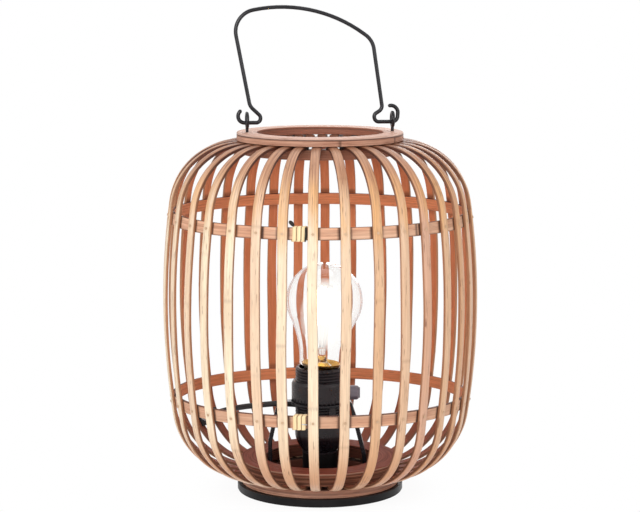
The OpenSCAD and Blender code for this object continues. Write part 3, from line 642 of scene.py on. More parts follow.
@dataclass(frozen=True)
class CoatFinish(Finish):
    """A painted, moulded or metal surface with smudges, scratches and stipple."""

    colour: Colour = srgb(20, 20, 22)
    worn: Colour = srgb(52, 51, 54)
    roughness: float = 0.42
    metallic: float = 0.0
    specular: float = 0.5
    stipple: float = 0.00002

    def paint(self, g: Graph, shader: bpy.types.Node, effects: Effects) -> None:
        """Even colour, broken by handling.

        Args:
            g: The material's graph.
            shader: The shader that it sets.
            effects: The shared node groups.
        """
        marks = ("Smudge", "Scratch", "Stipple")
        smudge, scratch, stipple = g.group(effects.wear, marks, Place=g.place(), Size=1.0)
        worn = g.times(g.larger(g.times(smudge, 0.45), scratch), 0.5)
        g.feed(shader.inputs["Base Color"], g.mix(worn, self.colour, self.worn))
        rough = g.plus(g.times(smudge, 0.14), self.roughness - 0.05)
        g.feed(shader.inputs["Roughness"], g.plus(rough, g.times(scratch, 0.08)))
        g.feed(shader.inputs["Normal"], g.bump(stipple, self.stipple))
        fix(shader, Metallic=self.metallic, Specular_IOR_Level=self.specular)


@dataclass(frozen=True)
class GlassFinish(Finish):
    """Clear blown glass with a faint haze of handling."""

    tint: Colour = (1.0, 0.995, 0.985, 1.0)
    ior: float = 1.3

    def paint(self, g: Graph, shader: bpy.types.Node, effects: Effects) -> None:
        """Clear, with a little haze in its roughness.

        Args:
            g: The material's graph.
            shader: The shader that it sets.
            effects: The shared node groups.
        """
        (smudge,) = g.group(effects.wear, ("Smudge",), Place=g.place(), Size=0.5)
        g.feed(shader.inputs["Roughness"], g.times(smudge, 0.003))
        fix(shader, Base_Color=self.tint, Transmission_Weight=1.0, IOR=self.ior)


@dataclass(frozen=True)
class GlowFinish(Finish):
    """A lit stick with small darker grains in it."""

    colour: Colour = srgb(255, 236, 188)
    grain: Colour = srgb(255, 214, 140)
    strength: float = 14.0

    def paint(self, g: Graph, shader: bpy.types.Node, effects: Effects) -> None:
        """Light that the grains make a little darker.

        Args:
            g: The material's graph.
            shader: The shader that it sets.
            effects: The shared node groups. Not used here.
        """
        grains = g.noise(g.place(), 1400, detail=1.0)
        shade = g.mix(g.ease(grains, 0.35, 0.65), self.grain, self.colour)
        g.feed(shader.inputs["Emission Color"], shade)
        g.feed(shader.inputs["Base Color"], shade)
        fix(shader, Emission_Strength=self.strength)


@dataclass(frozen=True)
class HazeFinish(Finish):
    """Painted glow: a soft haze of light round the lit sticks, on shells that the bulb does not have."""

    colour: Colour = (1.0, 0.985, 0.94, 1.0)
    cover: float = 0.4
    mottle: float = 0.08
    strength: float = 1.15

    def paint(self, g: Graph, shader: bpy.types.Node, effects: Effects) -> None:
        """Thin light with a slight mottle that fades toward its outline.

        Args:
            g: The material's graph.
            shader: The shader that it sets.
            effects: The shared node groups. Not used here.
        """
        mottle = g.noise(g.place(), 90, detail=2.0)
        cover = g.plus(g.times(mottle, self.mottle), self.cover - self.mottle / 2)
        facing = g.minus(1.0, g.node("LayerWeight").outputs["Facing"])
        g.feed(shader.inputs["Alpha"], g.times(cover, facing))
        fix(shader, Base_Color=(0.0, 0.0, 0.0, 1.0), Roughness=1.0, Specular_IOR_Level=0.0)
        fix(shader, Emission_Color=self.colour, Emission_Strength=self.strength)


PALE_STRAND = srgb(250, 228, 172)
DEEP_STRAND = srgb(240, 202, 136)


class Finishes(Enum):
    """Every finish on the lamp."""

    CANE = CaneFinish("split_cane")
    BINDING = CaneFinish(
        "binding_cane", brow=PALE_STRAND, crown=PALE_STRAND, belly=srgb(252, 230, 184), foot=PALE_STRAND,
        tip=PALE_STRAND, honey=DEEP_STRAND, rosy=srgb(240, 206, 150), pith=DEEP_STRAND,
        pith_dark=srgb(200, 148, 84), stain_and_shade=srgb(150, 96, 48), side=srgb(150, 100, 54),
    )
    HOOP = RingFinish(
        "hoop_cane", body=srgb(232, 176, 142), deep=srgb(134, 80, 54), pale=srgb(250, 212, 180),
        inside=srgb(236, 146, 98), upper=srgb(140, 80, 52), pitch=0.0021, drift=0.0016,
        line_weight=0.3, streak_weight=0.36, specular=0.35,
    )
    RIM = RingFinish("rim_wood", line_weight=0.9)
    RIM_CAP = RingFinish(
        "rim_cap_wood", body=srgb(232, 198, 180), deep=srgb(120, 72, 56), pale=srgb(240, 212, 196),
        line_weight=0.4, pitch=0.0021,
    )
    UNDER_RIM = RingFinish(
        "under_rim_wood", body=srgb(148, 98, 76), deep=srgb(84, 48, 34), pale=srgb(176, 122, 96),
        inside=srgb(140, 92, 72), upper=srgb(150, 100, 78),
    )
    FOOT_RING = RingFinish(
        "foot_ring_wood", body=srgb(164, 106, 80), deep=srgb(58, 30, 22), pale=srgb(208, 152, 124),
        inside=srgb(112, 66, 52), upper=srgb(148, 76, 56), pitch=0.00112, line_weight=0.95,
        layer_weight=0.6, streak_weight=0.5, specular=0.1, roughness=0.7,
    )
    LOW_RING = RingFinish(
        "low_ring_wood", body=srgb(190, 134, 108), deep=srgb(98, 56, 42), pale=srgb(230, 184, 160),
        inside=srgb(112, 66, 52), upper=srgb(176, 122, 102), pitch=0.00136, layer_weight=0.55,
        streak_weight=0.46,
    )
    BASE_PAINT = CoatFinish("black_paint", srgb(12, 10, 11), srgb(40, 36, 38), roughness=0.38, specular=0.16)
    IRON = CoatFinish(
        "cast_iron", srgb(72, 72, 74), srgb(110, 104, 98), roughness=0.62, metallic=0.6, stipple=0.00012
    )
    RUBBER = CoatFinish(
        "foot_rubber", srgb(26, 24, 25), srgb(50, 48, 48), roughness=0.78, specular=0.2, stipple=0.00006
    )
    WIRE = CoatFinish("black_wire", srgb(20, 19, 23), srgb(52, 50, 56), roughness=0.22, specular=0.36)
    NAIL = CoatFinish("nail_steel", srgb(204, 170, 138), srgb(134, 100, 76), roughness=0.55, metallic=0.2)
    STEEL = CoatFinish("bright_steel", srgb(196, 198, 203), srgb(150, 150, 154), roughness=0.26, metallic=1.0)
    HOLDER = CoatFinish("holder_plastic", srgb(20, 15, 19), srgb(48, 42, 48), roughness=0.28)
    KNOB = CoatFinish("knob_plastic", srgb(112, 106, 116), srgb(146, 140, 150), roughness=0.36)
    BRASS = CoatFinish("cap_brass", srgb(222, 178, 96), srgb(176, 126, 58), roughness=0.26, metallic=1.0)
    OUTLET = CoatFinish("outlet_plastic", srgb(24, 23, 24), srgb(54, 52, 54), roughness=0.5)
    LEAD = CoatFinish("lead_sheath", srgb(22, 21, 22), srgb(48, 46, 48), roughness=0.46)
    TWINE = CoatFinish("black_twine", srgb(26, 22, 20), srgb(60, 48, 40), roughness=0.8, stipple=0.00012)
    GLASS = GlassFinish("bulb_glass")
    GLOW = GlowFinish("filament_glow")
    HAZE = HazeFinish("filament_haze")


# ---------------------------------------------------------------- meshes


@dataclass(frozen=True)
class RingMarks:
    """Dark and pale lines on a ring, with painted contact shadows and painted highlights. Azimuths are in
    degrees and sizes in millimetres.

    Args:
        seams: Azimuths of the seams of its ends.
        held: Azimuths of the strips that lie on its outside, beside which it darkens with staining and
            painted contact shadow.
        grip: Half that strip's width.
        joints: Heights and weights of lines that run round its outside, dark or, below 0, pale with painted
            highlight.
    """

    seams: Sequence[float] = ()
    held: Sequence[float] = ()
    grip: float = 0.0
    joints: Sequence[Pair] = ()
    seam_half: float = 1.2
    stain_shadow_reach: float = 2.0
    stain_shadow_fade: float = 1.2
    stain_shadow_weight: float = 0.9
    joint_half: float = 0.3
    joint_core: float = 1.6

    def nearest(self, turn: np.ndarray, azimuths: Sequence[float], radius: float) -> np.ndarray:
        """Distance along a ring to the nearest azimuth.

        Args:
            turn: The ring's own azimuths in radians.
            azimuths: The azimuths in degrees.
            radius: The ring's radius in millimetres.

        Returns:
            The distances in millimetres.
        """
        off = np.full(len(turn), 180.0)
        for azimuth in azimuths:
            apart = np.abs((np.degrees(turn) - azimuth + 180) % 360 - 180)
            off = np.minimum(off, apart * radius * math.pi / 180)
        return off

    def weights(self, turn: np.ndarray, outline: np.ndarray, inward: np.ndarray) -> np.ndarray:
        """How much each point is marked, below 0 where a painted highlight makes it pale.

        Args:
            turn: The ring's azimuths in radians.
            outline: Radius and height of its profile's corners.
            inward: How far each corner faces the lamp's axis, from 0 to 1.

        Returns:
            The weights, one row for each azimuth.
        """
        radius, outside = outline[:, 0].mean(), 1 - inward
        seam = np.clip(self.seam_half - self.nearest(turn, self.seams, radius), 0, 1)
        mark = seam[:, None] + 0 * inward
        # Beside each strip the ring darkens with staining and painted contact shadow.
        beyond = self.grip + self.stain_shadow_reach - self.nearest(turn, self.held, radius)
        stain_and_shadow = self.stain_shadow_weight * np.clip(beyond / self.stain_shadow_fade, 0, 1)
        mark = np.maximum(mark, stain_and_shadow[:, None] * outside)
        for level, weight in self.joints:
            off = np.abs(outline[:, 1] - level) / self.joint_half
            line = weight * np.clip(self.joint_core - off, 0, 1) * outside
            mark = np.maximum(mark, line) if weight > 0 else np.minimum(mark, line)
        return mark


@dataclass
class Workshop:
    """Makes meshes, gives them their finish and hangs them on the frame."""

    effects: Effects = field(default_factory=Effects)
    materials: dict[Finishes, bpy.types.Material] = field(default_factory=dict)
    made: list[str] = field(default_factory=list)
    turned_sharp: float = 50.0

    def loft(
        self,
        name: str,
        rings: np.ndarray,
        values: dict[str, np.ndarray] | None = None,
        round_trip: bool = False,
        sharp: float = 38.0,
    ) -> Piece:
        """Skin rings of points into one closed mesh.

        Args:
            name: The piece's name.
            rings: Points in millimetres, ring by ring.
            values: Values at the points, shaped as the rings, for the materials.
            round_trip: Whether the last ring joins the first. The ends are capped otherwise.
            sharp: Edges that turn by more than these degrees stay sharp.

        Returns:
            The new object.
        """
        count, sides = rings.shape[:2]
        faces: list[tuple[int, ...]] = []
        for i in range(count if round_trip else count - 1):
            a, b = i * sides, (i + 1) % count * sides
            faces += [(a + j, a + (j + 1) % sides, b + (j + 1) % sides, b + j) for j in range(sides)]
        if not round_trip:
            faces += [tuple(range(sides))[::-1], tuple(range((count - 1) * sides, count * sides))]
        mesh = bpy.data.meshes.new(name)
        mesh.from_pydata((rings.reshape(-1, 3) * MM).tolist(), [], faces)
        for label, numbers in (values or {}).items():
            kind, key = ("FLOAT", "value") if numbers.ndim == 2 else ("FLOAT_VECTOR", "vector")
            held = mesh.attributes.new(label, kind, "POINT").data
            held.foreach_set(key, numbers.astype(np.float32).ravel())
        return self.close(name, mesh, sharp)

    def close(self, name: str, mesh: bpy.types.Mesh, sharp: float) -> Piece:
        """Turn the faces outward, smooth them and link the object.

        Args:
            name: The piece's name.
            mesh: Its mesh.
            sharp: Edges that turn by more than these degrees stay sharp.

        Returns:
            The new object.
        """
        shape = bmesh.new()
        shape.from_mesh(mesh)
        bmesh.ops.recalc_face_normals(shape, faces=shape.faces)
        shape.to_mesh(mesh)
        shape.free()
        mesh.shade_smooth()
        mesh.set_sharp_from_angle(angle=math.radians(sharp))
        made = bpy.data.objects.new(name, mesh)
        bpy.context.scene.collection.objects.link(made)
        return made

    def turned(
        self,
        name: str,
        profile: Sequence[Pair],
        steps: int = 240,
        seed: float = 0.0,
        place: Callable[[np.ndarray], np.ndarray] | None = None,
        marks: RingMarks = RingMarks(),
    ) -> Piece:
        """Turn a closed profile round the lamp's axis.

        Args:
            name: The piece's name.
            profile: Radius and height of its corners, in millimetres.
            steps: How many steps make the round.
            seed: Moves the grain.
            place: Moves the finished points.
            marks: The lines on it.

        Returns:
            The new object.
        """
        outline = np.array(profile, float)
        path, mean = travelled(outline), outline[:, 0].mean()
        turn = np.linspace(0, 2 * math.pi, steps, endpoint=False)
        east, north = np.sin(turn)[:, None], -np.cos(turn)[:, None]
        rings = np.stack([outline[:, 0] * east, outline[:, 0] * north, outline[:, 1] + 0 * east], axis=2)
        grain = [mean * east + 0 * path, mean * north + 0 * path, path + seed * 10 + 0 * east]
        ahead = np.roll(outline, -1, 0) - np.roll(outline, 1, 0)
        ahead /= np.linalg.norm(ahead, axis=1)[:, None]
        after = np.roll(outline, -1, 0)
        turning = np.sign((outline[:, 0] * after[:, 1] - after[:, 0] * outline[:, 1]).sum())
        inward, up = np.clip(-turning * ahead[:, 1], 0, 1), np.clip(-turning * ahead[:, 0], 0, 1)
        face = [inward + 0 * east, up + 0 * east, marks.weights(turn, outline, inward)]
        values = {"fibre_place": np.stack(grain, axis=2) * MM, "ring_face": np.stack(face, axis=2)}
        return self.loft(name, place(rings) if place else rings, values, True, self.turned_sharp)

    def material(self, finish: Finishes) -> bpy.types.Material:
        """The finish's material, made when it is first asked for.

        Args:
            finish: The finish.

        Returns:
            Its material.
        """
        if finish not in self.materials:
            self.materials[finish] = finish.value.material(self.effects)
        return self.materials[finish]

    def finish(
        self, piece: Piece, finish: Finishes, slot: str, *stands_for: str, body: str = LAMP_BODY
    ) -> None:
        """Dress a new piece and hang it on its body.

        Args:
            piece: The piece.
            finish: Its finish.
            slot: The record's material slot. It is not used.
            *stands_for: The nodes that it replaces.
            body: The body that carries it.
        """
        piece.data.materials.clear()
        piece.data.materials.append(self.material(finish))
        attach(piece, body)
        if stands_for:
            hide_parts(*stands_for)
        self.made.append(piece.name)

    def dress(self, finish: Finishes, *nodes: str) -> None:
        """Give nodes of the frame their finish.

        Args:
            finish: The finish.
            *nodes: The nodes' names.
        """
        for node in nodes:
            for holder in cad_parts[node].material_slots:
                holder.material = self.material(finish)
            log.info("dressed %s in %s", node, finish.value.name)


def travelled(points: np.ndarray) -> np.ndarray:
    """Length along a path at each of its points."""
    return np.r_[0, np.cumsum(np.linalg.norm(np.diff(points, axis=0), axis=1))]


def heading(path: np.ndarray) -> np.ndarray:
    """Direction of a path at each of its points."""
    ahead = np.gradient(path, axis=0)
    return ahead / np.linalg.norm(ahead, axis=1)[:, None]


def bell(distance: np.ndarray, half: float) -> np.ndarray:
    """A smooth bump, 1 in the middle and faint beyond a half width."""
    return np.exp(-((distance / half) ** 2))


def put(vectors: np.ndarray, *parts: object) -> None:
    """Set the three parts of a row of vectors, each to a number or a row of numbers."""
    for i, part in enumerate(parts):
        vectors[:, i] = part


def spun(points: np.ndarray, first: int, second: int, degrees: float) -> np.ndarray:
    """Turn points in the plane of two axes.

    Args:
        points: The points.
        first: The axis that the turn starts from.
        second: The axis that it turns toward.
        degrees: How far.

    Returns:
        The turned points.
    """
    c, s = math.cos(math.radians(degrees)), math.sin(math.radians(degrees))
    made = points.copy()
    made[..., first] = points[..., first] * c - points[..., second] * s
    made[..., second] = points[..., first] * s + points[..., second] * c
    return made


def box(outer: float, inner: float, low: float, high: float) -> list[Pair]:
    """The corners of a square-edged ring's profile."""
    return [(outer, low), (outer, high), (inner, high), (inner, low)]


def rounded(corners: Sequence[Pair], radius: float) -> list[Pair]:
    """Round the corners of a closed profile.

    Args:
        corners: Its corners.
        radius: The radius of each.

    Returns:
        The rounded profile.
    """
    steps = 4
    points: list[Pair] = []
    for i, corner in enumerate(corners):
        here = Vector(corner)
        back = (Vector(corners[i - 1]) - here).normalized()
        on = (Vector(corners[(i + 1) % len(corners)]) - here).normalized()
        for k in range(steps + 1):
            t = k / steps
            start, end = here + back * radius, here + on * radius
            at = start * (1 - t) ** 2 + here * 2 * t * (1 - t) + end * t**2
            points.append((at.x, at.y))
    return points


def swept(
    path: np.ndarray, radius: float | np.ndarray, sides: int, start: Vector | None = None
) -> np.ndarray:
    """Rings of a round wire along a path.

    Args:
        path: The points of its middle.
        radius: Its radius, one number or one for each point.
        sides: Points in a ring.
        start: A direction across the wire at its start.

    Returns:
        The rings.
    """
    ahead = heading(path)
    side = np.array(start if start is not None else Vector(ahead[0]).orthogonal(), float)
    sizes = np.broadcast_to(np.asarray(radius, float), (len(path),))
    turn = np.linspace(0, 2 * math.pi, sides, endpoint=False)
    rings = []
    for point, along, size in zip(path, ahead, sizes):
        side = side - along * side.dot(along)
        side /= np.linalg.norm(side)
        other = np.cross(along, side)
        rings.append(point + size * (np.cos(turn)[:, None] * side + np.sin(turn)[:, None] * other))
    return np.array(rings)


def bent(corners: Sequence[Pair], radii: Sequence[float]) -> np.ndarray:
    """A flat path with its corners bent to arcs, in even steps.

    Args:
        corners: The path's corners.
        radii: The radius at each corner. The two ends need none.

    Returns:
        The path's points.
    """
    arc_points = 16
    made = [Vector(corners[0])]
    for before, corner, after, radius in zip(corners, corners[1:], corners[2:], radii[1:]):
        here = Vector(corner)
        back, on = (Vector(before) - here).normalized(), (Vector(after) - here).normalized()
        half = back.angle(on) / 2
        centre = here + (back + on).normalized() * radius / math.sin(half)
        first, last = (here + way * radius / math.tan(half) - centre for way in (back, on))
        turn = (math.atan2(last.y, last.x) - math.atan2(first.y, first.x) + math.pi) % (2 * math.pi) - math.pi
        for t in np.linspace(0, turn, arc_points):
            c, s = math.cos(t), math.sin(t)
            made.append(centre + Vector((first.x * c - first.y * s, first.x * s + first.y * c)))
    made.append(Vector(corners[-1]))
    flat = np.array([tuple(point) for point in made])
    length = travelled(flat)
    at = np.linspace(0, length[-1], round(length[-1] / BEND_STEP))
    return np.stack([np.interp(at, length, flat[:, 0]), np.interp(at, length, flat[:, 1])], axis=1)


def eased(points: Sequence[Sequence[float]], steps: int) -> np.ndarray:
    """A smooth path through the points.

    Args:
        points: The points.
        steps: Steps between two points.

    Returns:
        The path's points.
    """
    p = np.array(points, float)
    p = np.vstack([2 * p[0] - p[1], p, 2 * p[-1] - p[-2]])
    made = []
    for i in range(1, len(p) - 2):
        for t in np.arange(steps) / steps:
            made.append(0.5 * (2 * p[i] + (p[i + 1] - p[i - 1]) * t
                               + (2 * p[i - 1] - 5 * p[i] + 4 * p[i + 1] - p[i + 2]) * t**2
                               + (3 * p[i] - p[i - 1] - 3 * p[i + 1] + p[i + 2]) * t**3))
    return np.vstack([made, p[-2]])


# ---------------------------------------------------------------- the cage


@dataclass
class RibCage:
    """The ribs of split cane, bent from the rim to the foot. Sizes are in millimetres."""

    shop: Workshop
    count: int = 32
    phase: float = -2.5
    width: float = 7.4
    thickness: float = 2.6
    depth: float = 2.9
    fullness: float = 1.03
    belly_radius: float = 125.0
    belly_height: float = 151.6
    top_height: float = 280.5
    foot_height: float = 13.0
    side_radius: float = 580.0
    shoulder_radius: float = 55.6
    foot_radius: float = 60.0
    end_radius: float = 51.5
    step: float = 2.4
    hoop_heights: Pair = (221.0, 74.8)
    hoop_tilts: Pair = (0.0, 1.8)
    hoop_reach: float = 5.9
    sways: tuple[Pair, ...] = ((0.35, 9.4), (0.2, 23))
    widenings: tuple[Pair, ...] = ((0.02, 14), (0.012, 47))
    node_zones: tuple[Zone, ...] = ((0.06, 0.5), (0.52, 0.94))
    node_half: float = 1.6
    node_rise: float = 0.1
    scar_half: float = 0.8
    scar_below: float = 2.6
    scar_weight: float = 0.3
    scar_cut: float = 0.75
    skin_depth: float = 0.07
    node_skin: float = 0.06
    crown_drop: float = 0.62
    crown_power: float = 2.6
    nail_half: float = 1.5
    nail_share: float = 0.62
    nail_weight: float = 0.22
    shade_halves: Pair = (1.8, 1.6)
    shade_weights: Pair = (0.85, 0.6)
    eave_radius: float = 82.0
    eave_fade: float = 14.0
    eave_height: float = 262.0
    eave_weight: float = 0.8
    rim_share: float = 0.32
    rim_fade: float = 0.12
    grain_apart: float = 41.0
    first_seed: int = 700
    drift: tuple[float, ...] = (
        0, 0.25, 0.9, 0.25, -1.3, -1.75, -3, -4.75, -4, -4.25, -4.5, -4.75, -3.1, -1.25, -0.2, 0.95,
        0.6, 0.15, -0.6, -1.55, -1.8, -1.35, 0.5, 0.75, 1.3, 2.25, 3, 3.75, 2.2, 2.25, 1.8, 0.25,
    )
    # Tints of the ribs from the front round to the right, then of the last ribs at the left: partly their own
    # tones, partly painted shade on the right and painted light on the left.
    honeys_and_shade: tuple[float, ...] = (0.05, 0.3, 0.75, 0.55, 0.6, 0.7, 0.9, 0.5)
    rosies_and_shade: tuple[float, ...] = (0.0, 0.1, 0.0, 0.2, 0.75, 0.1, 0.1, 0.3)
    left_honeys_and_light: tuple[float, ...] = (0.1, 0.25, 0.05, 0.0, 0.2, 0.1)
    left_rosies_and_light: tuple[float, ...] = (0.1, 0.15, 0.0, 0.0, 0.25, 0.0)

    def __post_init__(self) -> None:
        """Work out where the curve's arcs meet."""
        self.side_centre = (self.belly_radius - self.side_radius, self.belly_height)
        rise = self.top_height - self.shoulder_radius - self.belly_height
        drop = self.belly_height - self.foot_height - self.foot_radius
        self.shoulder_angle = math.asin(rise / (self.side_radius - self.shoulder_radius))
        self.foot_angle = math.asin(drop / (self.side_radius - self.foot_radius))
        self.shoulder_centre = (
            self.side_centre[0] + (self.side_radius - self.shoulder_radius) * math.cos(self.shoulder_angle),
            self.belly_height + rise,
        )
        self.foot_centre = (
            self.side_centre[0] + (self.side_radius - self.foot_radius) * math.cos(self.foot_angle),
            self.belly_height - drop,
        )

    def azimuth(self, index: int) -> float:
        """Azimuth of a rib in degrees, from the front."""
        return self.phase + index * 360 / self.count + self.drift[index % self.count]

    def tints(self, index: int, dice: random.Random) -> Pair:
        """How honey-brown and how rosy a rib is, from 0 to 1, partly as painted shade on the right and
        painted light on the left.

        Args:
            index: Its place, from 0 at the front.
            dice: Gives the tints of the ribs at the back.

        Returns:
            Both tints.
        """
        if index < len(self.honeys_and_shade):
            return self.honeys_and_shade[index], self.rosies_and_shade[index]
        behind = index - self.count + len(self.left_honeys_and_light)
        if behind >= 0:
            return self.left_honeys_and_light[behind], self.left_rosies_and_light[behind]
        return dice.random() ** 1.6 * 0.7, dice.random() ** 1.8 * 0.6

    def curve(self) -> np.ndarray:
        """The outer face from the rim to the foot.

        Returns:
            Rows of radius, height, outward radius part, outward height part.
        """
        rows = []
        for r in np.arange(self.end_radius, self.shoulder_centre[0], self.step):
            rows.append((r, self.top_height, 0.0, 1.0))
        arcs = (
            (self.shoulder_centre, self.shoulder_radius, math.pi / 2, self.shoulder_angle),
            (self.side_centre, self.side_radius, self.shoulder_angle, -self.foot_angle),
            (self.foot_centre, self.foot_radius, -self.foot_angle, -math.pi / 2),
        )
        for (middle, level), radius, first, last in arcs:
            steps = max(8, round(radius * abs(first - last) / self.step))
            for a in np.linspace(first, last, steps, endpoint=False):
                c, s = math.cos(a), math.sin(a)
                rows.append((middle + radius * c, level + radius * s, c, s))
        for r in np.arange(self.foot_centre[0], self.end_radius, -self.step):
            rows.append((r, self.foot_height, 0.0, -1.0))
        rows.append((self.end_radius, self.foot_height, 0.0, -1.0))
        return np.array(rows)

    def section(self) -> list[tuple[float, float, float, float]]:
        """The strip's cross-section.

        Returns:
            For each corner: across from -1 to 1, depth from 0 to 1, crown drop in millimetres, inner share.
        """
        across = (-0.9, -0.7, -0.45, -0.2, 0.0, 0.2, 0.45, 0.7, 0.9)
        skin = [(u, 0.0, self.crown_drop * abs(u) ** self.crown_power, 0.0) for u in across]
        right = [(0.975, 0.2, 0.14, 0.0), (1.0, 0.34, 0.0, 0.0), (1.0, 0.4, 0.0, 0.4), (1.0, 0.66, 0.0, 0.6),
                 (0.985, 0.9, 0.0, 0.9), (0.93, 0.99, 0.0, 1.0)]
        pith = [(u, 1.0, 0.0, 1.0) for u in (0.8, 0.3, -0.3, -0.8)]
        left = [(-u, w, drop, inner) for u, w, drop, inner in reversed(right)]
        return skin + right + pith + left

    def waves(self, share: np.ndarray, dice: random.Random) -> tuple[np.ndarray, np.ndarray]:
        """How a rib wanders sideways, and half its width.

        Args:
            share: Shares of its length.
            dice: Shifts the waves.

        Returns:
            Both in millimetres.
        """
        shifts = [dice.uniform(0, 6.28) for _ in range(4)]
        paces = [pace for _, pace in self.sways + self.widenings]
        waves = [np.sin(share * pace + shift) for pace, shift in zip(paces, shifts)]
        held = np.sin(np.pi * share) ** 0.5
        sway = sum(size * held * wave for (size, _), wave in zip(self.sways, waves))
        full = self.fullness
        for (size, _), wave in zip(self.widenings, waves[2:]):
            full = full + size * wave
        return sway, self.width / 2 * full

    def nodes(self, length: np.ndarray, dice: random.Random) -> tuple[np.ndarray, np.ndarray]:
        """The two nodes of the cane: where it swells, and the scar below each.

        Args:
            length: Length along the rib.
            dice: Places the nodes.

        Returns:
            Both, from 0 to about 1.
        """
        away = [(length / length[-1] - dice.uniform(*zone)) * length[-1] for zone in self.node_zones]
        swell = sum(bell(off, self.node_half) for off in away)
        return swell, self.scar_weight * sum(bell(off - self.scar_below, self.scar_half) for off in away)

    def shadows(self, curve: np.ndarray, az: float) -> tuple[np.ndarray, np.ndarray, np.ndarray]:
        """The marks of what touches a rib.

        Args:
            curve: The rib's outer face.
            az: Its azimuth in radians.

        Returns:
            The nails, the hoops' shade on the inside and the rim's shade on the outside.
        """
        height = curve[:, 1]
        levels = [
            high + self.belly_radius * math.cos(az) * math.sin(math.radians(tilt))
            for high, tilt in zip(self.hoop_heights, self.hoop_tilts)
        ]
        nails = sum(bell(height - z, self.nail_half) for z in levels)
        above = sum(bell(height - z - self.hoop_reach, self.shade_halves[0]) for z in levels)
        below = sum(bell(height - z + self.hoop_reach, self.shade_halves[1]) for z in levels)
        shade = above + self.shade_weights[1] * below
        near = np.clip((self.eave_radius - curve[:, 0]) / self.eave_fade, 0, 1)
        return nails, shade, self.eave_weight * near * (height > self.eave_height)

    def rib(self, index: int, dice: random.Random) -> Piece:
        """Build one rib.

        Args:
            index: Its place, from 0 at the front.
            dice: Gives its small differences.

        Returns:
            The rib.
        """
        curve, section = self.curve(), self.section()
        length = travelled(curve[:, :2])
        share = length / length[-1]
        az = math.radians(self.azimuth(index))
        out = np.array([math.sin(az), -math.cos(az), 0.0])
        beside = np.array([math.cos(az), math.sin(az), 0.0])
        sway, half = self.waves(share, dice)
        swell, scar = self.nodes(length, dice)
        half = half + self.node_rise * swell
        honey, rosy = self.tints(index, dice)
        nails, shade, eave = self.shadows(curve, az)
        # Near the rim the sides' darker colour reaches onto the strip's rounded corners: painted shade.
        near_rim = np.clip((self.rim_share - share) / self.rim_fade, 0, 1)
        skin = self.skin_depth - self.node_skin * np.minimum(1, swell)
        # Dark marks: on the pith the hoops' painted shade; on the skin the nodes' scars and the rim's painted
        # shade.
        inside, outside = self.shade_weights[0] * shade, np.maximum(np.clip(self.scar_cut * scar, 0, 1), eave)
        rings, place, tint, mark = (np.zeros((len(curve), len(section), 3)) for _ in range(4))
        flat = np.zeros(rings.shape[:2])
        for k, (u, w, drop, inner) in enumerate(section):
            on_skin, on_side, on_pith = w < 0.2, abs(u) > 0.96, w > 0.5
            depth = w * self.depth + drop + (1 - w) * skin
            r = curve[:, 0] - curve[:, 2] * depth
            side = u * half + sway
            rings[:, k] = out * r[:, None] + beside * side[:, None]
            rings[:, k, 2] = curve[:, 1] - curve[:, 3] * depth
            if on_side:
                flat[:, k] = 1.0 if w > 0.36 else near_rim
            spot = max(0.0, 1 - (abs(u) / self.nail_share) ** 2) * nails
            scar_and_shade = outside if on_skin else inside * on_pith
            put(place[:, k], length * MM, index * self.grain_apart * MM, (side + depth) * MM)
            put(tint[:, k], share, u, honey)
            put(mark[:, k], inner, np.clip(self.nail_weight * spot * on_skin + scar_and_shade, 0, 1), rosy)
        return self.shop.loft(
            f"cane_rib_{index + 1:02d}", rings,
            {"fibre_place": place, "cane_tint": tint, "cane_mark_and_shade": mark, "cane_side": flat},
        )

    def build(self) -> None:
        """Build all ribs in the places of the frame's ribs."""
        for index in range(self.count):
            piece = self.rib(index, random.Random(self.first_seed + index))
            self.shop.finish(piece, Finishes.CANE, "rib_cane", f"rib_{index + 1:02d}")
        self.shop.dress(Finishes.NAIL, "rib_nails")
        log.info("built %d ribs", self.count)


